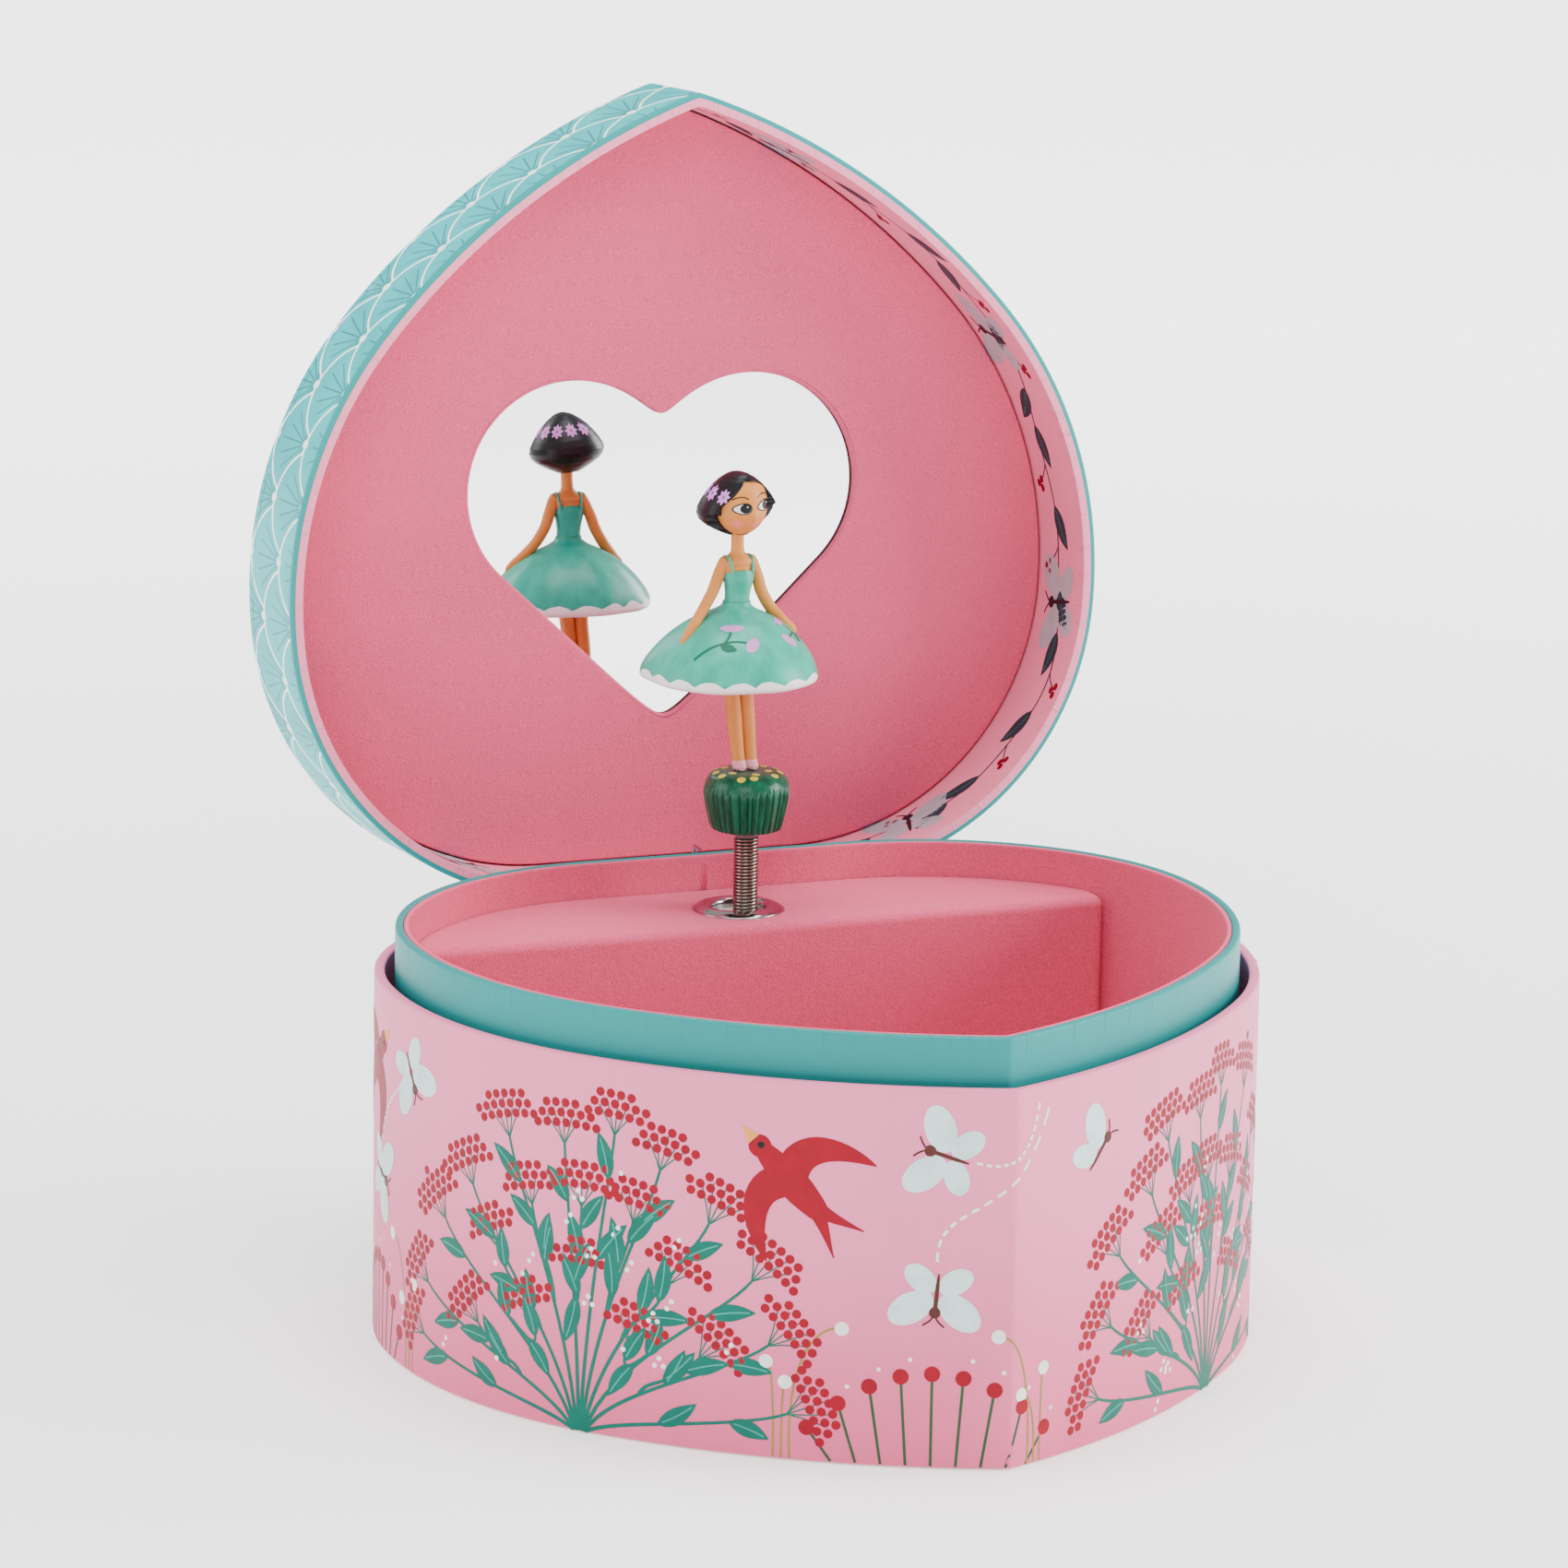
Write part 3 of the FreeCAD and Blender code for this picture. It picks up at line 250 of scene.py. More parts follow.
class Skin:
    """A surface being gathered: points, faces, a finish number and a print place per corner."""

    def __init__(self):
        self.points, self.faces, self.finishes, self.places, self.count = [], [], [], [], 0

    def add(self, points, faces, finish=0, places=None):
        """Adds points and faces; places are per point, or per face corner when three-deep."""
        points = np.asarray(points, float).reshape(-1, 3)
        faces = np.asarray(faces)
        if places is None:
            places = np.zeros((len(points), 2))
        places = np.asarray(places, float)
        if places.shape[:-1] != faces.shape:
            places = places.reshape(-1, 2)[faces]
        self.points.append(points)
        self.faces.append(faces + self.count)
        finish = np.broadcast_to(np.asarray(finish), (len(faces),))
        self.finishes.append(finish)
        self.places.append(places.reshape(-1, 2))
        self.count += len(points)

    def ring_grid(self, rings, finish=0, places=None, close_rows=False):
        """Rings of equal length, shape (rows, columns, 3), joined row to row."""
        rows, columns = rings.shape[:2]
        self.add(rings, grid_quads(rows, columns, close_rows), finish, places)

    def loft(self, rings, finish=0, places=None):
        """ring_grid() with both ends closed by a fan to the end ring's middle."""
        rows, columns = rings.shape[:2]
        flat = np.concatenate([rings.reshape(-1, 3), [rings[0].mean(0), rings[-1].mean(0)]])
        quads = grid_quads(rows, columns)
        j = np.arange(columns)
        last, first_cap = (rows - 1) * columns, rows * columns
        fans = np.concatenate([
            np.stack([j, np.full(columns, first_cap), (j + 1) % columns], -1),
            np.stack([last + j, last + (j + 1) % columns, np.full(columns, first_cap + 1)], -1)])
        if places is None:
            places = np.zeros((rows, columns, 2))
        spots = np.concatenate([places.reshape(-1, 2), [places[0].mean(0), places[-1].mean(0)]])
        finish = np.asarray(finish)
        grid_finish = finish if finish.ndim else np.full(len(quads), finish)
        self.add(flat, quads, grid_finish, spots)
        self.count -= len(flat)
        self.points.pop()
        self.add(flat, fans, [grid_finish[0]] * columns + [grid_finish[-1]] * columns, spots)


def fix_seam(places, faces_sizes, period):
    """Lets print run on over the closing seam: corners far behind their face's first are moved."""
    start = 0
    for face_count, corners in faces_sizes:
        block = places[start:start + face_count * corners].reshape(face_count, corners, 2)
        wide = np.ptp(block[..., 0], axis=1) > period / 2
        behind = block[..., 0] < 0
        block[..., 0] += period * (behind & wide[:, None])
        start += face_count * corners


def piece(name, skin, finishes, body, replaces=(), period=None, sharp=42.0):
    """Makes the mesh object of a gathered skin, in metres, and hangs it on its body."""
    points = np.concatenate(skin.points) * MM
    mesh = bpy.data.meshes.new(name)
    faces = [row for block in skin.faces for row in block.tolist()]
    mesh.from_pydata(points.tolist(), [], faces)
    places = np.concatenate(skin.places)
    if period:
        fix_seam(places, [block.shape for block in skin.faces], period)
    layer = mesh.uv_layers.new(name="print")
    layer.data.foreach_set("uv", places.ravel())
    mesh.polygons.foreach_set("material_index", np.concatenate(skin.finishes).astype(np.int32))
    mesh.polygons.foreach_set("use_smooth", np.ones(len(mesh.polygons), bool))
    work = bmesh.new()
    work.from_mesh(mesh)
    bmesh.ops.remove_doubles(work, verts=work.verts, dist=2e-7)
    bmesh.ops.dissolve_degenerate(work, edges=work.edges, dist=1e-8)
    bmesh.ops.recalc_face_normals(work, faces=work.faces)
    work.to_mesh(mesh)
    work.free()
    mesh.set_sharp_from_angle(angle=math.radians(sharp))
    made = bpy.data.objects.new(name, mesh)
    bpy.context.scene.collection.objects.link(made)
    for finish in finishes:
        mesh.materials.append(finish)
    if body:
        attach(made, body)
    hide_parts(*replaces)
    return made


def cut_holes(made, cutters):
    """Cuts closed skins out of a finished piece and keeps the result as its mesh."""
    for skin in cutters:
        mesh = bpy.data.meshes.new("cutter")
        faces = [row for block in skin.faces for row in block.tolist()]
        mesh.from_pydata((np.concatenate(skin.points) * MM).tolist(), [], faces)
        work = bmesh.new()
        work.from_mesh(mesh)
        bmesh.ops.recalc_face_normals(work, faces=work.faces)
        work.to_mesh(mesh)
        work.free()
        cutter = bpy.data.objects.new("cutter", mesh)
        bpy.context.scene.collection.objects.link(cutter)
        cut = made.modifiers.new("cut", "BOOLEAN")
        cut.operation, cut.solver, cut.object = "DIFFERENCE", "EXACT", cutter
        bpy.context.view_layer.update()
        result = bpy.data.meshes.new_from_object(made.evaluated_get(bpy.context.evaluated_depsgraph_get()))
        made.modifiers.remove(cut)
        result.name = made.data.name
        made.data = result
        bpy.data.objects.remove(cutter)
    return made


def circle_ring(centre, radius, across, up, count=24):
    """Closed ring round centre in the plane of the directions across and up."""
    turn = np.arange(count) / count * TAU
    across, up = np.asarray(across, float), np.asarray(up, float)
    return np.asarray(centre) + radius * (np.cos(turn)[:, None] * across + np.sin(turn)[:, None] * up)


def rod_skin(start, end, radius, count=32):
    start, end = np.asarray(start, float), np.asarray(end, float)
    axis = (end - start) / np.linalg.norm(end - start)
    side = np.cross(axis, [0.3, 0.5, 0.81])
    side /= np.linalg.norm(side)
    up = np.cross(axis, side)
    skin = Skin()
    skin.loft(np.stack([circle_ring(p, radius, side, up, count) for p in (start, end)]))
    return skin


def rounded(corners, radius, steps=5):
    """Closed profile with each corner replaced by a small curve and a support point each side.

    The curve at a corner is the quadratic one from radius before it to radius after it.
    """
    corners = np.asarray(corners, float)
    before, after = np.roll(corners, 1, 0), np.roll(corners, -1, 0)
    result = []
    t = np.linspace(0, 1, steps)[:, None]
    for corner, back, ahead in zip(corners, before, after):
        to_back, to_ahead = back - corner, ahead - corner
        long_back, long_ahead = np.linalg.norm(to_back), np.linalg.norm(to_ahead)
        reach = min(radius, 0.45 * long_back, 0.45 * long_ahead)
        a, b = corner + to_back / long_back * reach, corner + to_ahead / long_ahead * reach
        curve = (1 - t) ** 2 * a + 2 * t * (1 - t) * corner + t ** 2 * b
        if long_back > 6 * reach:
            result.append(corner + to_back / long_back * 2 * reach)
        result.extend(curve)
        if long_ahead > 6 * reach:
            result.append(corner + to_ahead / long_ahead * 2 * reach)
    return np.array(result)


def swept(profile):
    """Rings of a closed profile of (inset, height) points carried round the plan."""
    steps = plan_steps()
    rings = []
    for inset, height in profile:
        ring, _ = plan(steps, inset)
        rings.append(np.column_stack([ring, np.full(len(steps), height)]))
    return steps, np.array(rings)


def lathe(profile, centre, sides=96, turn=0.0):
    """Rings of (radius, height) points spun round a vertical axis."""
    angles = np.arange(sides) / sides * TAU + turn
    profile = np.asarray(profile, float)
    x = centre[0] + profile[:, :1] * np.cos(angles)
    y = centre[1] + profile[:, :1] * np.sin(angles)
    return np.stack([x, y, np.broadcast_to(profile[:, 1:], x.shape)], -1)


def bezier(points, count=16):
    """Cubic curve through its end points, drawn by its two middle ones."""
    a, b, c, d = (np.asarray(p, float) for p in points)
    t = np.linspace(0, 1, count)[:, None]
    return (1 - t) ** 3 * a + 3 * (1 - t) ** 2 * t * b + 3 * (1 - t) * t ** 2 * c + t ** 3 * d


def smooth_path(points, count):
    """Catmull-Rom curve through points of any dimension, with even steps between them."""
    points = np.asarray(points, float)
    padded = np.concatenate([[2 * points[0] - points[1]], points, [2 * points[-1] - points[-2]]])
    t = np.linspace(0, len(points) - 1, count)
    i = np.minimum(t.astype(int), len(points) - 2)
    f = (t - i)[:, None]
    a, b, c, d = padded[i], padded[i + 1], padded[i + 2], padded[i + 3]
    return 0.5 * (2 * b + (c - a) * f + (2 * a - 5 * b + 4 * c - d) * f ** 2
                  + (3 * b - a - 3 * c + d) * f ** 3)


def tube(path, radii, sides=20, flat=1.0, front=(0, -1, 0)):
    """Rings carried along a path; flat squeezes each ring along its front direction."""
    path = np.asarray(path, float)
    radii = np.broadcast_to(np.asarray(radii, float), (len(path),))
    tangent = np.gradient(path, axis=0)
    tangent /= np.linalg.norm(tangent, axis=1, keepdims=True)
    side = np.cross(tangent, np.asarray(front, float))
    side /= np.linalg.norm(side, axis=1, keepdims=True)
    up = np.cross(side, tangent)
    turn = np.arange(sides) / sides * TAU
    flat = np.broadcast_to(np.asarray(flat, float), (len(path),))
    return (path[:, None] + radii[:, None, None] * (np.cos(turn)[None, :, None] * side[:, None]
            + flat[:, None, None] * np.sin(turn)[None, :, None] * up[:, None]))


# --- print ----------------------------------------------------------------------------------
class Ink:
    """Islands of one colour of ink on a flat sheet, as closed shapes 0.1 mm thick at most."""

    under = -0.06

    def __init__(self, lift):
        self.lift, self.blocks, self.count = lift, [], 0

    def add(self, points, faces):
        self.blocks.append((points, [np.asarray(f) for f in faces]))

    def dots(self, centres, radius, lift=0.0, sides=8):
        """Round dots: a rim, a middle point above and one below, joined by two fans."""
        centres = np.asarray(centres, float).reshape(-1, 2)
        n, turn = len(centres), np.arange(sides) / sides * TAU
        radius = np.broadcast_to(np.asarray(radius, float), (n,))
        high = self.lift + lift
        points = np.zeros((n, sides + 2, 3))
        points[:, :sides, :2] = centres[:, None] + radius[:, None, None] * np.stack(
            [np.cos(turn), np.sin(turn)], -1)
        points[:, sides:, :2] = centres[:, None]
        points[:, :sides, 2] = high * 0.8
        points[:, sides, 2] = high
        points[:, sides + 1, 2] = self.under
        k = np.arange(sides)
        fans = np.concatenate([np.stack([k, (k + 1) % sides, np.full(sides, sides)], -1),
                               np.stack([(k + 1) % sides, k, np.full(sides, sides + 1)], -1)])
        base = np.arange(n)[:, None, None] * (sides + 2)
        self.add(points.reshape(-1, 3), [(fans + base).reshape(-1, 3)])

    def patch(self, outline, centre, lift=0.0, rings=4):
        """Area inside an outline that its centre sees whole: rings shrunk towards the centre."""
        outline, centre = np.asarray(outline, float), np.asarray(centre, float)
        scale = np.arange(rings, 0, -1) / rings
        flat = centre + scale[:, None, None] * (outline - centre)
        high = self.lift + lift
        top = np.dstack([flat, np.full(flat.shape[:2], high)])
        top[0, :, 2] = high * 0.7
        low = np.dstack([flat[1:], np.full((rings - 1, len(outline)), self.under)])[::-1]
        both = np.concatenate([low, top])
        skin = Skin()
        skin.loft(both)
        self.add(skin.points[-1], skin.faces)

    def stroke(self, path, half_width, lift=0.0):
        """Line of changing width: two edges on the sheet and a keel under it."""
        path = np.asarray(path, float)
        half = np.broadcast_to(np.asarray(half_width, float), (len(path),))[:, None]
        tangent = np.gradient(path, axis=0)
        tangent /= np.linalg.norm(tangent, axis=1, keepdims=True) + 1e-12
        side = np.stack([-tangent[:, 1], tangent[:, 0]], -1) * half
        high = np.full((len(path), 1), self.lift + lift)
        rows = np.stack([np.hstack([path + side, high]), np.hstack([path - side, high]),
                         np.hstack([path, np.full_like(high, self.under)])], 1)
        last = 3 * (len(path) - 1)
        caps = np.array([[0, 1, 2], [last, last + 2, last + 1]])
        self.add(rows.reshape(-1, 3), [grid_quads(len(path), 3), caps])

    def leaf(self, base, direction, size, width, lift=0.0, bend=0.0):
        """Pointed leaf: a stroke whose half width is a sine arch, fuller near its base."""
        t = np.linspace(0, 1, 9)
        half = 0.04 + width / 2 * np.sin(math.pi * t ** 0.85) ** 0.9
        heading = direction + bend * (t - 0.5)
        steps = np.stack([np.cos(heading), np.sin(heading)], -1) * size / 8
        path = np.asarray(base, float) + np.concatenate([[[0, 0]], np.cumsum(steps[:-1], 0)])
        self.stroke(path, half, lift)
        return path

    def onto(self, skin, sheet, finish=0):
        """Wraps every island with the sheet function and adds it to a skin."""
        for points, blocks in self.blocks:
            placed = sheet(points)
            start = skin.count
            for number, faces in enumerate(blocks):
                if number == 0:
                    skin.add(placed, faces, finish, points[:, :2])
                else:
                    skin.faces.append(faces + start)
                    skin.finishes.append(np.full(len(faces), finish))
                    skin.places.append(points[:, :2][faces].reshape(-1, 2))


def wall_sheet(points):
    """Body's outer face: distance along the plan, height above the table, cut off at its edge."""
    spot, normal = plan(points[:, 0])
    return np.column_stack([spot + normal * points[:, 2:], np.maximum(points[:, 1], 0.1)])


def band_sheet(points):
    """Lid's inner face: distance along the plan, depth from the rim; lift points inwards."""
    inset = (sizes().wall + sizes().lid_lining) / MM
    spot, normal = plan(points[:, 0], inset)
    return opened(np.column_stack([spot - normal * points[:, 2:], RIM_Z + points[:, 1]]))


def turned(points, centre, turn, scale=1.0):
    """Local (x, y) points scaled, turned and moved to centre."""
    c, s = math.cos(turn), math.sin(turn)
    points = np.asarray(points, float) * scale
    return np.asarray(centre) + points @ np.array([[c, s], [-s, c]])


def oval(centre, half_x, half_y, tilt=0.0, count=28):
    t = np.arange(count) / count * TAU
    return turned(np.stack([half_x * np.cos(t), half_y * np.sin(t)], -1), centre, tilt)


def umbel(inks, centre, facing, radius):
    """Dome of berries in arcs over a small fan of twigs, facing the way its stem grows."""
    dot = sizes().umbel_dot / MM
    columns, rows = np.meshgrid(np.arange(-6, 6), np.arange(4))
    spots = np.stack([(columns + 0.5 * (rows % 2) + 0.25) * dot * 1.17, rows * dot * 1.04], -1).reshape(-1, 2)
    inside = (spots[:, 0] / radius) ** 2 + (spots[:, 1] / (0.72 * radius)) ** 2 < 1.12
    spots = spots[inside] - np.stack([0 * spots[inside, 0], 0.012 * spots[inside, 0] ** 2], -1)
    turn = facing - math.pi / 2
    spots = turned(spots, centre, turn)
    inks["berry"].dots(spots[spots[:, 1] > 0.5 * dot + 0.3], dot / 2)
    for sweep in np.linspace(0.12, 0.88, 5) * math.pi:
        tip = [0.62 * radius * math.cos(sweep), 0.5 * radius * math.sin(sweep)]
        twig = turned([[0, -0.62 * radius], [tip[0] * 0.35, -0.3 * radius], tip], centre, turn)
        inks["leaf"].stroke(twig, 0.13)
    return turned([[0, -0.62 * radius]], centre, turn)[0]


def bush(inks, root, half_width, height, rng):
    """Berry bush: rows of umbels on elliptical arcs, each on a curved stem with leaves."""
    rows = [(1.0, 0.95, 12, 6.9), (0.66, 0.70, 7, 6.6), (0.34, 0.46, 3, 6.2)]
    branches = []
    for row, (wide, tall, count, radius) in enumerate(rows):
        low = (4, 22, 40)[row]
        for sweep in np.radians(np.linspace(low, 180 - low, count)):
            sweep += rng.uniform(-0.045, 0.045)
            reach = rng.uniform(0.93, 1.03)
            centre = np.array([root + half_width * wide * reach * math.cos(sweep),
                               5.0 + (height - 9.0) * tall * reach * math.sin(sweep)])
            offset = centre - [root, -6.0]
            facing = math.atan2(offset[1] * 1.1, offset[0])
            foot = umbel(inks, centre, facing, radius * rng.uniform(0.9, 1.06))
            way = np.array([math.cos(facing), math.sin(facing)])
            start, first = np.array([root + 0.03 * (foot[0] - root), 0.4]), 7 + len(branches) % 2
            if row:
                near = min(branches, key=lambda b: abs(b[0] - sweep))[1]
                start, first = near[4 + 2 * row], 9
            lean = 0.16 * (foot[0] - start[0])
            stem = bezier([start, [start[0] + lean, start[1] + 0.45 * (foot[1] - start[1])],
                           foot - way * min(9.0, 0.3 * height), foot], 18)
            if row == 0:
                branches.append((sweep, stem))
            inks["leaf"].stroke(stem, np.linspace(0.40, 0.26, 18))
            slope = np.gradient(stem, axis=0)
            for number, at in enumerate(range(first, 15, 5)):
                side = (-1) ** (number + int(sweep * 7))
                heading = math.atan2(slope[at, 1], slope[at, 0]) + side * rng.uniform(0.40, 0.65)
                rib = inks["leaf"].leaf(stem[at], heading, rng.uniform(7.6, 9.6), 3.1, 0.012, side * 0.3)
                inks["rib"].stroke(rib[1:8], 0.13, 0.012)
                if rng.random() < 0.55:
                    spot = stem[at] - side * 2.6 * np.array([-math.sin(heading), math.cos(heading)])
                    trio = np.array([[0, 0.9], [-0.85, -0.5], [0.85, -0.5]])
                    inks["white"].dots(spot + trio[:rng.integers(1, 4)], 0.5)


def butterfly(inks, centre, turn, scale=1.0, wing="wing", body="stalk", sides=(-1, 1)):
    """Rounded wings on one or both sides of a thin body with a head and two feelers."""
    for side in sides:
        for number, (middle, shape) in enumerate((((side * 4.3, 2.9), (4.4, 2.75, side * 0.62)),
                                                  ((side * 3.1, -2.6), (3.3, 2.2, -side * 0.62)))):
            outline = oval(middle, *shape)
            inks[wing].patch(turned(outline, centre, turn, scale),
                             turned([middle], centre, turn, scale)[0], 0.004 * (1 - number))
    for side in (-1, 1):
        feeler = bezier([[0, 3.6], [side * 0.4, 4.8], [side * 1.2, 5.3], [side * 1.9, 5.8]], 6)
        inks[body].stroke(turned(feeler, centre, turn, scale), 0.16 * scale)
    trunk = turned([[0, -3.8], [0, -1.5], [0, 1.5], [0, 3.0]], centre, turn, scale)
    inks[body].stroke(trunk, np.array([0.14, 0.36, 0.36, 0.3]) * scale)
    inks[body].dots(turned([[0, 3.3]], centre, turn, scale), 1.05 * scale, sides=14)


def bird(inks, centre, turn):
    """Swallow seen from above: body, two swept wings, forked tail, beak and eye."""
    def place(points):
        return turned(points, centre, turn)

    inks["berry"].stroke(place(smooth_path([[0, 11.2], [0, 7], [0, 1], [0, -4], [0, -6]], 14)),
                         np.interp(np.linspace(0, 1, 14), [0, 0.2, 0.5, 0.8, 1],
                                   [1.4, 2.2, 2.9, 1.9, 1.0]))
    inks["berry"].dots(place([[0, 10.9]]), 2.1, 0.002, sides=20)
    for side in (-1, 1):
        wing = bezier([[side * 0.3, 3.2], [side * 6.0, 7.4], [side * 11.0, 2.0], [side * 13.4, -5.2]], 16)
        width = 3.0 * np.cos(np.linspace(0, 1, 16) * math.pi / 2) ** 0.8 + 0.05
        inks["berry"].stroke(place(wing), width, 0.004)
        tail = bezier([[side * 0.2, -4], [side * 1.0, -7], [side * 2.2, -9], [side * 3.7, -12.4]], 10)
        inks["berry"].stroke(place(tail), np.linspace(1.5, 0.08, 10), 0.006)
    inks["beak"].stroke(place([[0, 12.5], [0, 15.6]]), np.array([1.35, 0.05]))
    inks["dark"].dots(place([[0.3, 10.9]]), 0.62, 0.02, sides=12)


def pin_flowers(inks, middle, spread, rng):
    """Fan of round-headed pins whose heads lie on an arch."""
    for head in np.linspace(-spread, spread, 9):
        top = 17.5 - 11.0 * (head / spread) ** 2
        foot = [middle + head * 0.8, 0.6]
        tip = [middle + head, top]
        inks["stalk_green"].stroke(np.linspace(foot, tip, 6), 0.26)
        inks["berry"].dots([tip], 1.45, 0.004, sides=16)
        if rng.random() < 0.6:
            inks["white"].dots([[tip[0] + 1.6, top + 3.2]], 0.42)


def pale_flowers(inks, foot, tops):
    """White-headed flowers on thin olive stems that rise and then bow towards their heads."""
    for number, (reach, top) in enumerate(tops):
        start = foot + 1.5 * number
        tip = [start + reach, top]
        stem = bezier([[start, 0.6], [start - 0.12 * reach, top * 0.75],
                       [tip[0] - reach * 0.5, top + 0.6], tip], 14)
        inks["olive"].stroke(stem, 0.2)
        inks["white"].dots([tip], 1.3, sides=14)


def flight(inks, points):
    """Dashed line: short strokes at even steps along a curve."""
    path = bezier(points, 61)
    for start in range(0, 58, 5):
        inks["white"].stroke(path[start:start + 4], 0.27)


# --- finishes -------------------------------------------------------------------------------
class Finish:
    """A Principled material being built, with short calls for the nodes it uses."""

    def __init__(self, name, roughness=0.5, metallic=0.0, **sockets):
        self.material = bpy.data.materials.new(name)
        self.material.use_nodes = True
        self.tree = self.material.node_tree
        self.shader = self.tree.nodes["Principled BSDF"]
        self.shader.inputs["Roughness"].default_value = roughness
        self.shader.inputs["Metallic"].default_value = metallic
        self.shader.inputs["Specular IOR Level"].default_value = 0.16
        for socket, value in sockets.items():
            self.shader.inputs[socket.replace("_", " ")].default_value = value
        self.coords = self.tree.nodes.new("ShaderNodeTexCoord")

    def node(self, kind, inputs=(), **settings):
        made = self.tree.nodes.new("ShaderNode" + kind)
        for key, value in settings.items():
            setattr(made, key, value)
        for key, value in dict(inputs).items():
            self.feed(made.inputs[key], value)
        return made

    def feed(self, socket, value):
        if hasattr(value, "is_output"):
            self.tree.links.new(value, socket)
        else:
            socket.default_value = value

    def math(self, operation, a, b=0.0, c=0.0):
        return self.node("Math", {0: a, 1: b, 2: c}, operation=operation).outputs[0]

    def soft(self, value, low, high):
        """0 below low, 1 above high, smooth between."""
        made = self.node("MapRange", {0: value, 1: low, 2: high}, interpolation_type="SMOOTHSTEP")
        return made.outputs[0]

    def noise(self, scale, detail=3.0, stretch=(1, 1, 1), coords="Object", roughness=0.55):
        spot = self.node("Mapping", {"Vector": self.coords.outputs[coords], "Scale": stretch})
        made = self.node("TexNoise", {"Vector": spot.outputs[0], "Scale": scale, "Detail": detail,
                                      "Roughness": roughness})
        return made.outputs[0]

    def blend(self, share, a, b):
        made = self.node("Mix", {0: share}, data_type="RGBA")
        self.feed(made.inputs[6], a if hasattr(a, "is_output") else (*a, 1.0))
        self.feed(made.inputs[7], b if hasattr(b, "is_output") else (*b, 1.0))
        return made.outputs[2]

    def colour(self, value):
        self.feed(self.shader.inputs["Base Color"], value)
        return self

    def bump(self, height, strength, distance=0.0002):
        made = self.node("Bump", {"Height": height, "Strength": strength, "Distance": distance})
        self.tree.links.new(made.outputs[0], self.shader.inputs["Normal"])
        return self

    def rough(self, value):
        self.feed(self.shader.inputs["Roughness"], value)
        return self


def shade(base, factor):
    return tuple(min(1.0, channel * factor) for channel in base)


def paper(name, base, other, roughness=0.52, grain=900):
    """Printed paper: cloudy tone, fibre grain, and faint long creases in the bump."""
    f = Finish(name, roughness)
    cloud = f.noise(14, 4)
    fibre = f.noise(grain, 3)
    f.colour(f.blend(cloud, base, other))
    crease = f.noise(9, 2, (1, 1, 0.25))
    height = f.math("ADD", f.math("MULTIPLY", fibre, 0.25), crease)
    return f.bump(height, 0.25, 0.0003).material


def ink(name, base, vary=0.86, roughness=0.45):
    """Ink that lies a little unevenly on the paper."""
    f = Finish(name, roughness)
    f.colour(f.blend(f.soft(f.noise(260, 4), 0.35, 0.7), base, shade(base, vary)))
    return f.bump(f.noise(1500, 2), 0.08, 0.0001).material


def body_paper():
    c = colours()
    f = Finish("printed_pink_paper", 0.46)
    height = f.node("SeparateXYZ", {0: f.coords.outputs["Object"]}).outputs[2]
    # painted shade: the ground darkens towards the bottom, over the lowest 52 mm of the wall
    low = f.soft(height, 0.0, 0.052)
    ground = f.blend(low, tuple(c.pink_painted_shade), tuple(c.pink_paper))
    cloud = f.math("MULTIPLY", f.soft(f.noise(22, 4), 0.3, 0.75), 0.22)
    f.colour(f.blend(cloud, ground, shade(c.pink_paper, 1.22)))
    crease = f.math("ADD", f.noise(10, 2, (1, 1, 0.3)), f.math("MULTIPLY", f.noise(1100, 3), 0.2))
    return f.bump(crease, 0.22, 0.0003).material


def crimped(f, edge_from, edge_to, period=0.33):
    """Bump of small pleats across a folded edge, fading away from it, from the print's place."""
    place = f.node("SeparateXYZ", {0: f.coords.outputs["UV"]})
    ridge = f.node("TexNoise", {"Vector": f.node("CombineXYZ", {0: place.outputs[0]}).outputs[0],
                                "Scale": period, "Detail": 3.0, "Roughness": 0.7}).outputs[0]
    pleat = f.math("MULTIPLY", f.soft(ridge, 0.52, 0.68), f.soft(place.outputs[1], edge_from, edge_to))
    return pleat


def neck_paper():
    c = colours()
    f = Finish("turquoise_paper", 0.4)
    f.colour(f.blend(f.noise(12, 4), shade(c.turquoise, 0.92), shade(c.turquoise, 1.12)))
    pleat = crimped(f, NECK_HIGH - 6.0, NECK_HIGH - 0.5)
    grain = f.math("ADD", f.math("MULTIPLY", f.noise(900, 3), 0.08), f.math("MULTIPLY", pleat, 0.8))
    return f.bump(grain, 0.5, 0.0004).material


def flock(name, base):
    """Short pile: speckled colour, a felt-like bump and a soft sheen, with faint brushed clouds."""
    f = Finish(name, 0.95, Sheen_Weight=0.12, Sheen_Roughness=0.5)
    f.shader.inputs["Sheen Tint"].default_value = (1.0, 0.75, 0.8, 1.0)
    f.shader.inputs["Specular IOR Level"].default_value = 0.12
    speck = f.noise(4200, 2, roughness=0.6)
    pile = f.blend(f.soft(speck, 0.3, 0.72), shade(base, 0.80), shade(base, 1.16))
    brushed = f.math("MULTIPLY", f.soft(f.noise(26, 3), 0.35, 0.7), 0.28)
    f.colour(f.blend(brushed, pile, shade(base, 1.12)))
    coarse = f.math("ADD", speck, f.math("MULTIPLY", f.noise(1500, 3), 0.5))
    return f.bump(coarse, 0.6, 0.0003).material


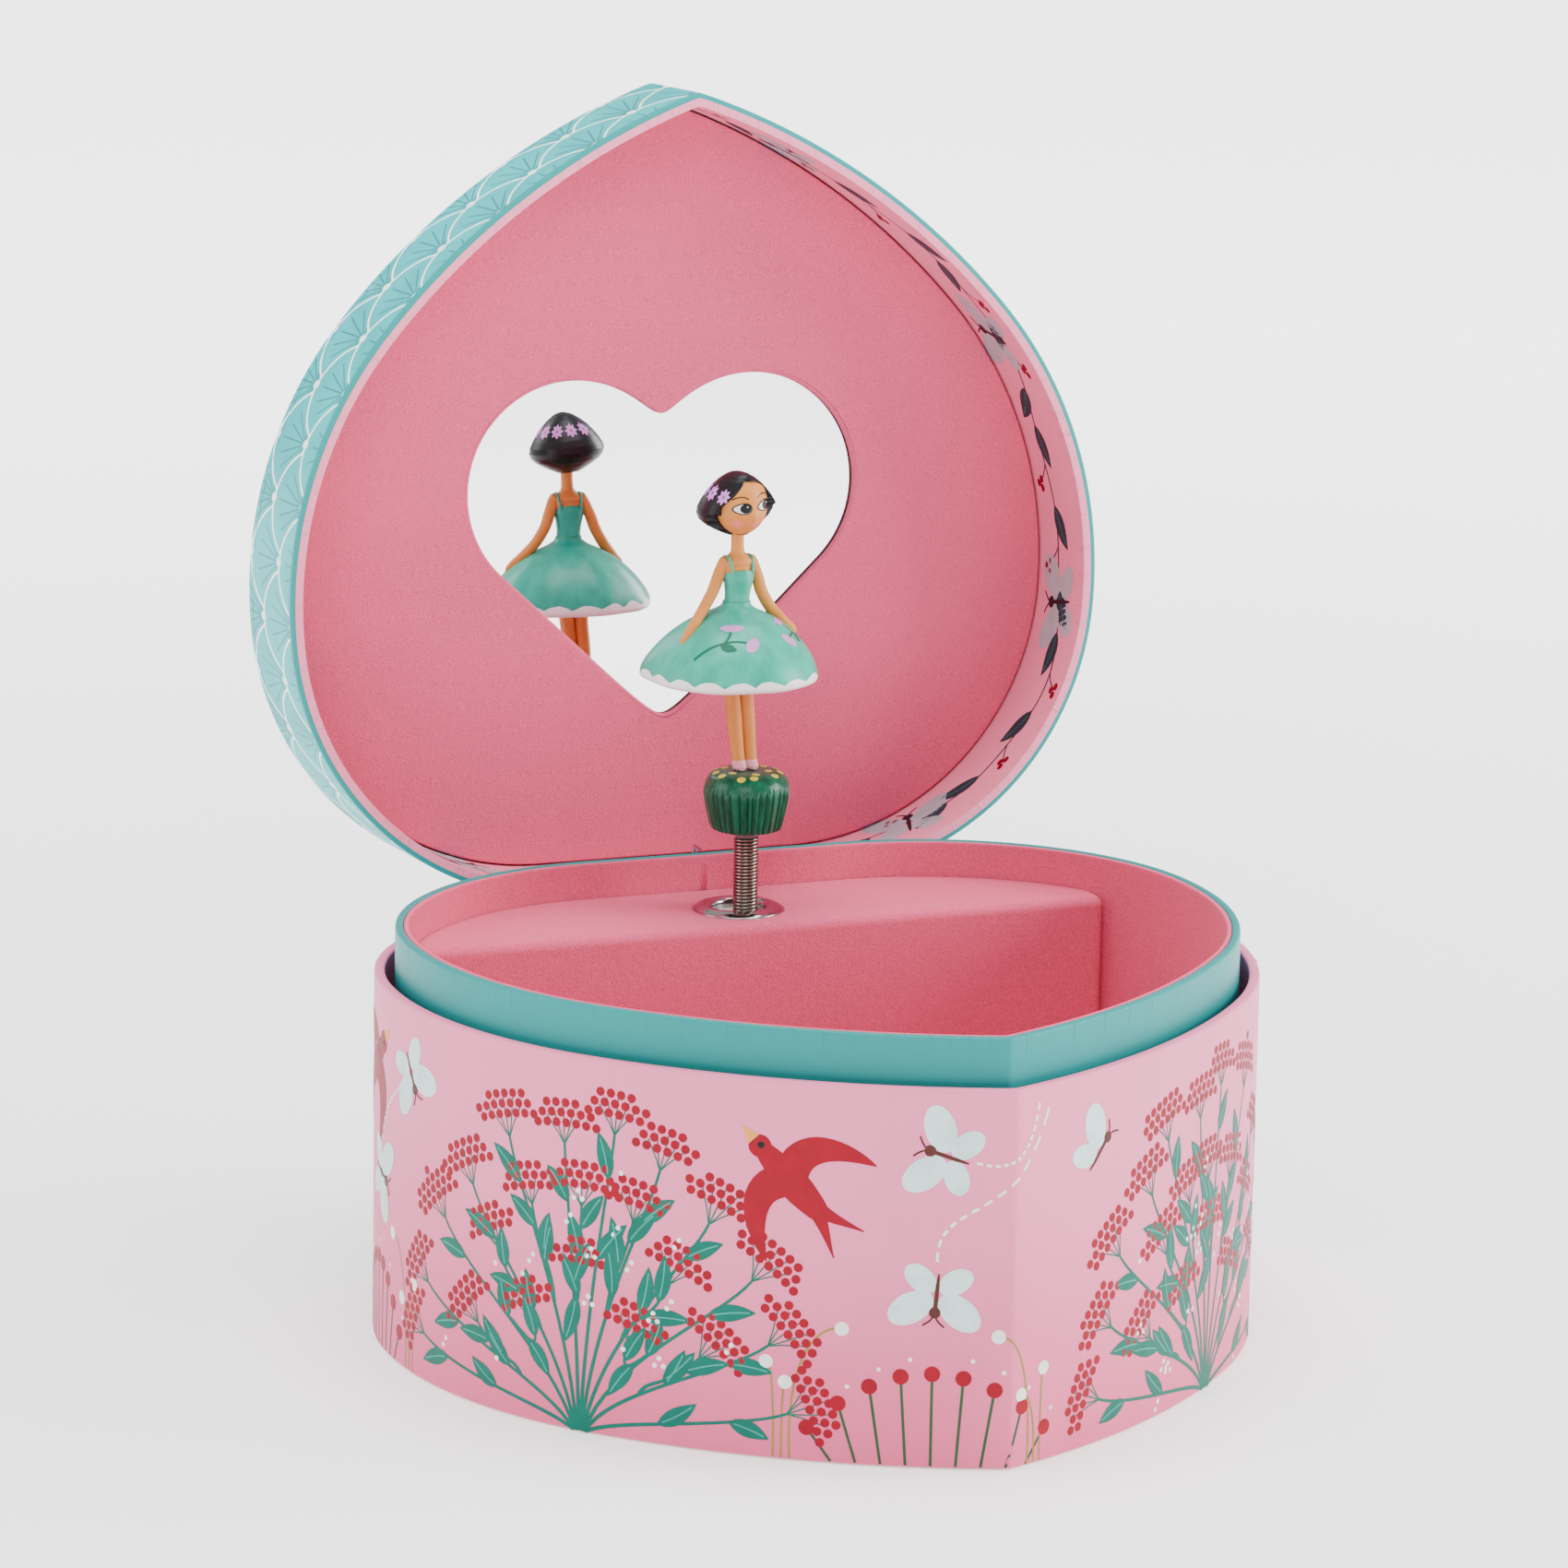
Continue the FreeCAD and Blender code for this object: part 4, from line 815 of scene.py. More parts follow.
def fan_paper():
    """Aqua paper printed with overlapping fans.

    In a height divided by the stretch, circles of radius R stand in rows R/2 apart, every
    other row moved by R, and lower rows lie over higher ones. A point belongs to the row below
    its own if that circle reaches it, or else to its own row. White lines follow each circle's
    rim, with a white knot at its top and centre, and seven dark rays spread from the centre.
    """
    c = colours()
    reach = sizes().fan_spacing / MM / 2
    f = Finish("fan_paper", 0.42)
    place = f.node("SeparateXYZ", {0: f.coords.outputs["UV"]})
    along, rim_far = place.outputs[0], place.outputs[1]
    up = f.math("DIVIDE", rim_far, sizes().fan_stretch)
    row = f.math("FLOOR", f.math("DIVIDE", up, reach / 2))
    above = f.math("SUBTRACT", up, f.math("MULTIPLY", row, reach / 2))
    odd = f.math("MODULO", f.math("ADD", row, 400.0), 2.0)
    shifted = f.math("ADD", along, f.math("MULTIPLY", odd, reach))
    own_x = f.math("WRAP", shifted, reach, -reach)
    under_x = f.math("WRAP", f.math("ADD", shifted, reach), reach, -reach)
    under_y = f.math("ADD", above, reach / 2)

    def distance(x, y):
        return f.math("SQRT", f.math("ADD", f.math("MULTIPLY", x, x), f.math("MULTIPLY", y, y)))

    under_far = distance(under_x, under_y)
    covered = f.math("LESS_THAN", under_far, reach)

    def choose(a, b):
        return f.math("ADD", f.math("MULTIPLY", covered, a),
                      f.math("MULTIPLY", f.math("SUBTRACT", 1.0, covered), b))

    x, y = choose(under_x, own_x), choose(under_y, above)
    far = distance(x, y)
    line = f.math("SUBTRACT", 1.0, f.soft(f.math("SUBTRACT", reach, far), 0.42, 0.6))
    knot_top = f.math("SUBTRACT", 1.0, f.soft(distance(x, f.math("SUBTRACT", y, reach)), 0.75, 1.15))
    knot_low = f.math("SUBTRACT", 1.0, f.soft(far, 0.7, 1.05))
    white = f.math("MAXIMUM", line, f.math("MAXIMUM", knot_top, knot_low))
    turn = f.math("ARCTAN2", y, x)
    ray_step = 0.36
    off = f.math("PINGPONG", f.math("ADD", turn, -math.pi / 2 + 20 * ray_step), ray_step / 2)
    side_off = f.math("MULTIPLY", far, f.math("SINE", off))
    ray = f.math("SUBTRACT", 1.0, f.soft(side_off, 0.10, 0.24))
    length_noise = f.noise(0.9, 1, coords="UV")
    ray_end = f.math("MULTIPLY_ADD", length_noise, 3.6, reach * 0.6)
    ray = f.math("MULTIPLY", ray, f.math("LESS_THAN", far, ray_end))
    ray = f.math("MULTIPLY", ray, f.math("GREATER_THAN", far, 1.1))
    wide = f.math("LESS_THAN", f.math("ABSOLUTE", f.math("SUBTRACT", turn, math.pi / 2)), 1.2)
    ray = f.math("MULTIPLY", f.math("MULTIPLY", ray, wide), 0.85)
    wash = f.soft(f.noise(70, 3), 0.3, 0.7)
    ground = f.blend(wash, shade(c.aqua, 0.9), shade(c.aqua, 1.12))
    ground = f.blend(ray, ground, (0.012, 0.15, 0.17))
    printed = f.blend(white, ground, (0.86, 0.95, 0.94))
    # painted shade: near the rim the fan print gives way to plain, darker turquoise where the paper turns
    # under the edge
    rim_shade_band = f.soft(rim_far, 0.9, 1.15)
    f.colour(f.blend(rim_shade_band, shade(c.turquoise, 1.15), printed))
    crease = f.math("ADD", f.noise(11, 2), f.math("MULTIPLY", f.noise(1000, 3), 0.15))
    return f.bump(crease, 0.22, 0.0003).material


def lining_paper():
    """Pink paper inside the lid, with pleats where it folds over the rim."""
    f = Finish("lid_lining_paper", 0.5)
    base = (0.80, 0.24, 0.36)
    f.colour(f.blend(f.noise(16, 4), base, shade(base, 1.14)))
    place = f.node("SeparateXYZ", {0: f.coords.outputs["UV"]})
    pleat = f.math("SUBTRACT", 1.0, f.soft(place.outputs[1], 1.2, 3.5))
    ridge = f.node("TexNoise", {"Vector": f.node("CombineXYZ", {0: place.outputs[0]}).outputs[0],
                                "Scale": 0.42, "Detail": 4.0, "Roughness": 0.75}).outputs[0]
    pleat = f.math("MULTIPLY", pleat, f.soft(ridge, 0.5, 0.68))
    grain = f.math("ADD", f.math("MULTIPLY", f.noise(1000, 3), 0.06), pleat)
    return f.bump(grain, 0.6, 0.0004).material


def metal(name, base, roughness, scratch=0.25, scale=420, stretch=(1, 1, 1), other=None):
    """Metal with fine wear lines in its roughness and a faint stain in its colour."""
    f = Finish(name, roughness, 1.0)
    lines = f.noise(scale, 4, stretch, roughness=0.7)
    f.colour(f.blend(f.noise(120, 3), base, other or shade(base, 0.82)))
    f.rough(f.math("MULTIPLY_ADD", lines, scratch, roughness - scratch / 2))
    return f.bump(lines, 0.06, 0.00005).material


def plastic(name, base, roughness=0.35):
    """Moulded plastic: faint flow marks and a very fine bump."""
    f = Finish(name, roughness)
    f.colour(f.blend(f.noise(90, 3), base, shade(base, 0.9)))
    f.rough(f.math("MULTIPLY_ADD", f.noise(300, 3), 0.2, roughness - 0.1))
    return f.bump(f.noise(900, 2), 0.05, 0.0001).material


def paint(name, base, other, roughness=0.32, stretch=(1, 1, 0.35), strength=0.3):
    """Hand-laid paint: brush streaks in the colour, the gloss and the surface."""
    f = Finish(name, roughness, Coat_Weight=0.15, Coat_Roughness=0.25)
    streak = f.noise(420, 4, stretch, roughness=0.6)
    f.colour(f.blend(f.soft(streak, 0.3, 0.72), base, other))
    f.rough(f.math("MULTIPLY_ADD", streak, 0.24, roughness - 0.1))
    return f.bump(streak, strength, 0.0002).material


def skin_paint(cheeks):
    """Skin paint that turns pink round the cheeks, by distance from each cheek's middle."""
    c = colours()
    f = Finish("skin_paint", 0.42, Coat_Weight=0.1, Coat_Roughness=0.3)
    base = f.blend(f.soft(f.noise(300, 3), 0.3, 0.75), tuple(c.skin), shade(c.skin, 1.1))
    spot = f.coords.outputs["Object"]
    for cheek in cheeks:
        far = f.node("VectorMath", {0: spot, 1: cheek}, operation="DISTANCE").outputs["Value"]
        near = f.math("MULTIPLY", f.math("SUBTRACT", 1.0, f.soft(far, 0.0003, 0.0015)), 0.7)
        base = f.blend(near, base, (0.80, 0.14, 0.17))
    f.colour(base)
    return f.bump(f.noise(700, 2), 0.05, 0.0001).material


def dress_paint():
    """Mint brushwork with a white scalloped hem, from the print's place on the skirt."""
    c = colours()
    f = Finish("dress_paint", 0.34, Coat_Weight=0.2, Coat_Roughness=0.25)
    streak = f.noise(300, 4, (1, 1, 0.3), roughness=0.6)
    mint = f.blend(f.soft(streak, 0.25, 0.75), shade(c.dress, 0.88), shade(c.dress, 1.22))
    place = f.node("SeparateXYZ", {0: f.coords.outputs["UV"]})
    scallop = 5.8
    wave = f.math("ABSOLUTE", f.math("SINE", f.math("MULTIPLY", place.outputs[0], math.pi / scallop)))
    wobble = f.math("MULTIPLY", f.noise(0.35, 2, coords="UV"), 0.9)
    edge = f.math("ADD", f.math("MULTIPLY_ADD", wave, 1.0, 0.55), wobble)
    white = f.math("LESS_THAN", place.outputs[1], edge)
    f.colour(f.blend(white, mint, (0.80, 0.83, 0.80)))
    f.rough(f.math("MULTIPLY_ADD", streak, 0.22, 0.24))
    height = f.math("ADD", streak, f.math("MULTIPLY", white, 0.5))
    return f.bump(height, 0.35, 0.0002).material


def hair_paint():
    c = colours()
    f = Finish("hair_paint", 0.34)
    strand = f.noise(500, 4, (1, 1, 0.25), roughness=0.6)
    f.colour(f.blend(strand, tuple(c.hair), shade(c.hair, 1.7)))
    return f.bump(strand, 0.15, 0.0001).material


def plinth_paint():
    c = colours()
    f = Finish("plinth_paint", 0.3, Coat_Weight=0.25, Coat_Roughness=0.2)
    streak = f.noise(520, 4, (1, 1, 0.16), roughness=0.65)
    f.colour(f.blend(f.soft(streak, 0.35, 0.7), shade(c.plinth, 0.6), shade(c.plinth, 1.35)))
    return f.bump(streak, 0.6, 0.0004).material


def mirror_finish():
    """Silvered glass with the faintest haze."""
    f = Finish("mirror_silver", 0.015, 1.0)
    f.colour(f.blend(f.noise(40, 3), (0.93, 0.94, 0.95), (0.90, 0.91, 0.925)))
    f.rough(f.math("MULTIPLY_ADD", f.noise(160, 3), 0.012, 0.006))
    return f.material


def board(name, base):
    """Bare board: mottled pulp with coarse fibres."""
    f = Finish(name, 0.85)
    f.colour(f.blend(f.soft(f.noise(700, 5), 0.3, 0.7), base, shade(base, 0.8)))
    return f.bump(f.noise(500, 5), 0.4, 0.0003).material


INK_TONES = {
    "leaf": (0.010, 0.215, 0.185), "rib": (0.05, 0.31, 0.26), "white": (0.86, 0.86, 0.84),
    "wing": (0.60, 0.76, 0.76), "stalk": (0.085, 0.022, 0.016), "stalk_green": (0.022, 0.085, 0.035),
    "olive": (0.27, 0.22, 0.045), "beak": (0.80, 0.33, 0.06), "dark": (0.01, 0.01, 0.012),
    "lilac": (0.55, 0.25, 0.55), "wing_grey": (0.42, 0.43, 0.47), "yellow": (0.72, 0.60, 0.06),
}


# --- operators ------------------------------------------------------------------------------
class Build(bpy.types.Operator):
    """Shared by the pieces' operators: runs make() and reports that it is done"""
    bl_options = {"REGISTER", "UNDO"}

    def execute(self, context):
        self.make()
        return {"FINISHED"}


def key_hole_cutter(from_y, to_y):
    return rod_skin((0, from_y, 30.0), (0, to_y, 30.0), 4.2, 40)


class MUSICBOX_OT_body_wall(Build):
    """Printed outer wall of the body, as one papered shell"""
    bl_idname = "music_box.body_wall"
    bl_label = "Body wall"

    def make(self):
        wall, edge = sizes().wall / MM, sizes().paper_round / MM
        low, high = WALL_LOW[2], WALL_HIGH[2]
        profile = rounded([[0, low], [wall, low], [wall, high], [0, high]], edge)
        steps, rings = swept(profile)
        places = np.stack(np.broadcast_arrays(steps[None, :], rings[..., 2]), -1)
        skin = Skin()
        skin.ring_grid(rings, 0, places, close_rows=True)
        made = piece("body_wall_paper", skin, [body_paper()], "base",
                     ["outer_wall"], 2 * half_perimeter())
        cut_holes(made, [key_hole_cutter(BACK_Y - 8, BACK_Y + 4)])


class MUSICBOX_OT_body_print(Build):
    """Bushes, birds, butterflies and flowers printed round the body"""
    bl_idname = "music_box.body_print"
    bl_label = "Body print"

    def make(self):
        inks = {"stalk_green": Ink(0.030), "olive": Ink(0.030), "leaf": Ink(0.034), "rib": Ink(0.048),
                "berry": Ink(0.052), "white": Ink(0.056), "wing": Ink(0.060), "stalk": Ink(0.076),
                "beak": Ink(0.058), "dark": Ink(0.060)}
        rng = np.random.default_rng(21)
        top = WALL_HIGH[2] - 1.5
        for root, half in ((-79, 44), (61, 44), (186, 41), (-203, 40)):
            bush(inks, root, half, top, rng)
        for middle in (-14, 124, -143):
            pin_flowers(inks, middle, 22 if middle > -20 and middle < 0 else 13, rng)
        for foot, tops in ((-42, ((-1.5, 18.0), (0.5, 14.5), (9.0, 25.0))),
                           (4, ((-6.5, 24.5), (-3.2, 13.5), (0.6, 17.5))),
                           (108, ((-1.5, 18.0), (0.5, 14.5), (6.0, 24.0))),
                           (-127, ((-6.5, 24.5), (-3.2, 13.5), (0.6, 17.5))),
                           (136, ((-3.0, 15.5), (0.6, 18.5))), (-161, ((2.0, 17.0), (0.6, 21.5)))):
            pale_flowers(inks, foot, tops)
        bird(inks, (-37.6, 49.2), math.radians(44))
        bird(inks, (-148, 52), math.radians(-50))
        bird(inks, (126, 50), math.radians(38))
        for spot, turn in (((-12, 57), 72), ((-13.5, 32), 175), ((-125, 57), -150), ((-141, 34), -105),
                           ((112, 60), -35), ((137, 33), 60), ((-243, 55), 30), ((236, 52), -40),
                           ((246, 28), 15)):
            butterfly(inks, spot, math.radians(turn))
        butterfly(inks, (21, 54), math.radians(-42), sides=(-1,))
        flight(inks, [(-13.5, 38), (-14, 50), (1, 44), (8, 67)])
        flight(inks, [(-7, 56), (0, 54), (4, 58), (5, 67)])
        flight(inks, [(-141, 38), (-139, 48), (-133, 50), (-129, 54)])
        flight(inks, [(137, 40), (132, 50), (122, 62), (108, 66)])
        tone = colours()
        palettes = {"berry": tuple(tone.berry), "leaf": tuple(tone.leaf)}
        for name, group in (("berries", ("berry",)),
                            ("leaves", ("leaf", "rib", "stalk_green", "olive")),
                            ("butterflies", ("white", "wing", "stalk", "beak", "dark"))):
            skin = Skin()
            finishes = []
            for key in group:
                inks[key].onto(skin, wall_sheet, len(finishes))
                finishes.append(ink("ink_" + key, palettes.get(key, INK_TONES.get(key))))
            piece("body_print_" + name, skin, finishes, "base", sharp=60)


class MUSICBOX_OT_neck(Build):
    """Turquoise neck and its flocked lining"""
    bl_idname = "music_box.neck"
    bl_label = "Neck and lining"

    def make(self):
        s = sizes()
        outer = s.neck_offset / MM
        inner = outer + s.neck_wall / MM
        lining = inner + s.neck_lining / MM
        slot_x, slot_z = -3.0, 64.1
        cutters = [key_hole_cutter(BACK_Y - 14, BACK_Y)]
        for name, a, b, high, finish, slot, node, edge in (
                ("neck_paper", outer, inner, NECK_HIGH, neck_paper(), "turquoise_paper", "neck_wall", 0.7),
                ("neck_flock_lining", inner, lining, NECK_HIGH - 0.12,
                 flock("flock_lining", tuple(colours().flock)), "flock", "neck_lining", 0.4)):
            profile = rounded([[a, FLOOR_TOP], [b, FLOOR_TOP], [b, high], [a, high]], edge)
            steps, rings = swept(profile)
            places = np.stack(np.broadcast_arrays(steps[None, :], rings[..., 2]), -1)
            skin = Skin()
            skin.ring_grid(rings, 0, places, close_rows=True)
            made = piece(name, skin, [finish], "base", [node], 2 * half_perimeter())
            slot_cut = Skin()
            corners = np.array([[-1, -1], [1, -1], [1, 1], [-1, 1]]) * [1.15, 2.5] + [slot_x, slot_z]
            ring = [np.column_stack([corners[:, 0], np.full(4, y), corners[:, 1]])
                    for y in (BACK_Y - lining - 1, BACK_Y - outer + 1)]
            slot_cut.loft(np.array(ring))
            cut_holes(made, cutters + [slot_cut])


class MUSICBOX_OT_lid_shell(Build):
    """Lid wall and top in fan paper, and the pink paper that lines it"""
    bl_idname = "music_box.lid_shell"
    bl_label = "Lid shell"

    def make(self):
        s = sizes()
        wall, lining, edge = s.wall / MM, s.lid_lining / MM, s.paper_round / MM
        flap = 0.2
        finish = fan_paper()
        period = round(2 * half_perimeter() / (s.fan_spacing / MM)) * s.fan_spacing / MM
        stretch = period / (2 * half_perimeter())

        def places_of(steps, rings):
            spots = np.broadcast_arrays(steps[None, :] * stretch, rings[..., 2] - RIM_Z)
            return np.stack(spots, -1)

        skin = Skin()
        low = RIM_Z + flap
        profile = rounded([[0, low - 0.12], [wall, low - 0.12], [wall, LID_BOARD_Z], [0, LID_BOARD_Z]], 0.4)
        steps, rings = swept(profile)
        skin.ring_grid(opened(rings), 0, places_of(steps, rings), close_rows=True)
        piece("lid_wall_paper", skin, [finish], "lid", ["lid_wall"], period)

        skin = Skin()
        inner = wall + lining
        corner = [[0.95, RIM_Z], [inner, RIM_Z], [inner, LID_BOARD_Z], [wall, LID_BOARD_Z],
                  [wall, low], [0.95, low]]
        steps, rings = swept(rounded(corner, 0.12, 3))
        skin.ring_grid(opened(rings), 0, places_of(steps, rings), close_rows=True)
        piece("lid_lining_paper", skin, [lining_paper()], "lid", ["lid_lining"], period)

        skin = Skin()
        t = np.linspace(0, math.pi / 2, 6)
        outline = [(0, LID_BOARD_Z)] + [(0, LID_BOARD_Z + 1.2)]
        outline += [(edge * (1 - math.cos(a)), LID_TOP_Z - edge * (1 - math.sin(a))) for a in t]
        steps, rings = swept(outline)
        shrink = np.array([0.985, 0.8, 0.6, 0.4, 0.2, 0.05])[:, None, None]
        top = rings[-1]
        level = np.broadcast_to(top[:, 2:], (len(shrink), len(top), 1))
        top_rings = np.concatenate([top[None, :, :2] * shrink, level], -1)
        under = top_rings[::-1] * [1, 1, 0] + [0, 0, LID_BOARD_Z]
        rows = np.concatenate([under, rings, top_rings])
        side = places_of(steps, rows)
        flat = np.stack([rows[..., 0], rows[..., 1] + 100.0], -1)
        quads = grid_quads(len(rows), len(steps))
        row_of_face = np.repeat(np.arange(len(rows) - 1), len(steps))
        on_side = (row_of_face >= 6) & (row_of_face < 6 + 5)
        corner_places = np.where(on_side[:, None, None], side.reshape(-1, 2)[quads],
                                 flat.reshape(-1, 2)[quads])
        closed = Skin()
        closed.loft(opened(rows), 0, flat)
        closed.places[0] = corner_places.reshape(-1, 2)
        wide = np.ptp(corner_places[..., 0], axis=1) > period / 2
        corner_places[..., 0] += period * (wide & on_side)[:, None] * (corner_places[..., 0] < 0)
        closed.places[0] = corner_places.reshape(-1, 2)
        piece("lid_top_paper", closed, [finish], "lid", ["lid_top"])


class MUSICBOX_OT_lid_print(Build):
    """Vine of leaves, berries and butterflies printed inside the lid"""
    bl_idname = "music_box.lid_print"
    bl_label = "Lid vine"

    def make(self):
        inks = {"slate": Ink(0.030), "rib": Ink(0.052), "wing_grey": Ink(0.040), "berry": Ink(0.050),
                "dark": Ink(0.060)}
        rng = np.random.default_rng(8)
        half = half_perimeter() - 6
        along = np.linspace(-half, half, 400)
        up = 10.8 + 3.0 * np.sin(along / 15.0) + 0.8 * np.sin(along / 5.3)
        vine = np.stack([along, up], -1)
        inks["slate"].stroke(vine, 0.24)
        slope = np.gradient(vine, axis=0)
        number = 0
        for at in range(6, 392, 7):
            side = 1 if number % 2 else -1
            heading = math.atan2(slope[at, 1], slope[at, 0])
            if number % 5 in (0, 2, 4):
                rib = inks["slate"].leaf(vine[at], heading + side * rng.uniform(0.35, 0.6),
                                         rng.uniform(9.5, 11.5), 4.2, 0.006, side * 0.3)
                inks["rib"].stroke(rib[1:8], 0.12)
            else:
                reach = rng.uniform(5.0, 6.5)
                tip = vine[at] + reach * np.array([math.cos(heading + side * 0.8),
                                                   math.sin(heading + side * 0.8)])
                twig = bezier([vine[at], vine[at] * 0.6 + tip * 0.4 + [1.0, 0], tip - [0.6, 0], tip], 8)
                inks["slate"].stroke(twig, 0.18)
                inks["berry"].dots(tip + np.array([[0, 0.9], [-0.95, -0.5], [0.95, -0.5]]), 0.85,
                                   sides=12)
            number += 1
        for spot in np.arange(-205, 240, 58.0):
            butterfly(inks, (spot, 12.5 + 2.0 * math.sin(spot)), rng.uniform(-1.2, 1.2), 1.2,
                      "wing_grey", "dark")
        skin = Skin()
        finishes = []
        tone = colours()
        tones = {"slate": tuple(tone.slate), "rib": (0.03, 0.20, 0.21), "berry": shade(tone.berry, 0.75)}
        for key, layer in inks.items():
            layer.onto(skin, band_sheet, len(finishes))
            finishes.append(ink("lid_ink_" + key, tones.get(key, INK_TONES.get(key))))
        piece("lid_print_vine", skin, finishes, "lid", sharp=60)


def heart_outline(count=720):
    """Dense outline of the heart opening: two lobe arcs and two straight sides to the tip."""
    s = sizes()
    radius, half_width = s.heart_lobe / MM, s.heart_width / MM / 2
    tip_y = BACK_Y - s.heart_tip / MM
    lobe = np.array([half_width - radius, tip_y - s.heart_height / MM + radius])
    away = np.array([-lobe[0], tip_y - lobe[1]])
    far = np.linalg.norm(away)
    touch = math.atan2(away[1], away[0]) - math.acos(radius / far)
    notch = math.atan2(-math.sqrt(radius ** 2 - lobe[0] ** 2), -lobe[0])
    sweep = np.linspace(notch, touch, count)
    arc = lobe + radius * np.stack([np.cos(sweep), np.sin(sweep)], -1)
    raised = np.array([0.0, tip_y + 1.6])
    half = np.concatenate([arc, np.linspace(arc[-1], raised, count // 3)[1:]])
    slope = (raised[1] - arc[-1, 1]) / arc[-1, 0]
    tip_end = half[:, 1] > lobe[1] + 20
    for near, steep, blunt in ((tip_end, slope, 2.4), (~tip_end, 1.62, 1.9)):
        x = half[near, 0]
        half[near, 1] -= steep * (np.sqrt(x ** 2 + blunt ** 2) - x) * np.exp(-(x / 9.0) ** 2)
    return np.concatenate([half, (half * [-1, 1])[::-1]]), lobe[1] + 8.0


def by_angle(outline, centre, angles):
    """Distance from centre to an outline at given angles, by interpolation."""
    offset = outline - centre
    bearing = np.arctan2(offset[:, 1], offset[:, 0])
    order = np.argsort(bearing)
    far = np.linalg.norm(offset, axis=1)
    return np.interp(angles, bearing[order], far[order], period=TAU)


class MUSICBOX_OT_panel(Build):
    """Flocked panel of the lid with its heart opening, whose cut edge is painted dark as shade"""
    bl_idname = "music_box.panel"
    bl_label = "Heart panel"

    def make(self):
        s = sizes()
        inset = (s.wall + s.lid_lining + s.panel_gap) / MM
        heart, centre_y = heart_outline()
        centre = np.array([0.0, centre_y])
        half = half_perimeter()
        dense = np.linspace(-half, half, 4001)[:-1]
        rim = plan(dense, inset)[0]
        angles = np.arange(720) / 720 * TAU - math.pi
        inner, outer = by_angle(heart, centre, angles), by_angle(rim, centre, angles)
        thick, bead = 1.5, 0.45
        low, high = PANEL_Z, PANEL_Z + thick
        t = np.linspace(0, math.pi / 2, 5)
        # painted shade: the top half millimetre of the heart's cut edge takes the near-black finish, number 1
        rows, finish = [(inner, high)], [1]
        rows.append((inner, high - 0.5))
        finish.append(0)
        for a in t:
            rows.append((inner + 0.8 * (1 - math.cos(a)), low + 0.8 * (1 - math.sin(a))))
            finish.append(0)
        for share in (0.02, 0.2, 0.4, 0.6, 0.8, 0.98):
            rows.append((inner + (outer - inner) * share, low))
            finish.append(0)
        for a in t:
            rows.append((outer - bead * (1 - math.sin(a)), low + bead * (1 - math.cos(a))))
            finish.append(0)
        for share in (1.0, 0.5):
            rows.append((inner + (outer - inner) * share, high))
            finish.append(0)
        rings = np.array([np.column_stack([centre[0] + r * np.cos(angles), centre[1] + r * np.sin(angles),
                                           np.full(720, z)]) for r, z in rows])
        skin = Skin()
        skin.ring_grid(opened(rings), np.repeat(finish, 720), None, close_rows=True)
        finishes = [flock("flock_panel", tuple(colours().flock)), board("painted_shade_edge", (0.035, 0.02, 0.02))]
        piece("heart_panel", skin, finishes, "lid", ["lid_panel"])


class MUSICBOX_OT_eyelet(Build):
    """Rolled nickel eyelet round the dancer's spring"""
    bl_idname = "music_box.eyelet"
    bl_label = "Eyelet"

    def make(self):
        low, high = node_mm("eyelet")
        middle = (low + high) / 2
        flange = (high[0] - low[0]) / 2
        bore, z = 5.0, COVER_TOP
        profile = [(bore + 0.5, low[2]), (bore + 0.5, z), (flange - 0.15, z), (flange, z + 0.12),
                   (flange - 0.12, z + 0.3), (flange - 0.9, z + 0.72), (flange - 1.9, z + 0.96),
                   (flange - 2.6, z + 1.0), (bore + 0.7, z + 0.86), (bore + 0.2, z + 0.55),
                   (bore, z + 0.1), (bore, z - 1.0), (bore, low[2])]
        path = smooth_path(profile, 60)
        skin = Skin()
        skin.ring_grid(lathe(path, middle, 128), close_rows=True)
        finish = metal("bright_nickel", (0.45, 0.43, 0.42), 0.14, 0.1, 600)
        piece("nickel_eyelet", skin, [finish], "base", ["eyelet"], sharp=50)


class MUSICBOX_OT_spring(Build):
    """Close-wound spring that carries the dancer"""
    bl_idname = "music_box.spring"
    bl_label = "Dancer spring"

    def make(self):
        wire = sizes().spring_wire / MM
        low, high = SPRING_LOW, SPRING_HIGH - 0.1
        radius = 2.4 - wire / 2
        turns = int((high - low - wire) / (wire * 1.03))
        count = turns * 26 + 1
        t = np.linspace(0, 1, count)
        sweep = t * turns * TAU
        path = np.stack([radius * np.cos(sweep), SPINDLE_Y + radius * np.sin(sweep),
                         low + wire / 2 + t * (high - low - wire)], -1)
        skin = Skin()
        skin.loft(tube(path, wire / 2, 8, front=(0, 0, 1)))
        finish = metal("spring_steel_wire", (0.34, 0.30, 0.26), 0.22, 0.2, 700, other=(0.20, 0.15, 0.11))
        made = piece("dancer_spring_coil", skin, [finish], None, ["dancer_spring"], sharp=75)
        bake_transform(made)


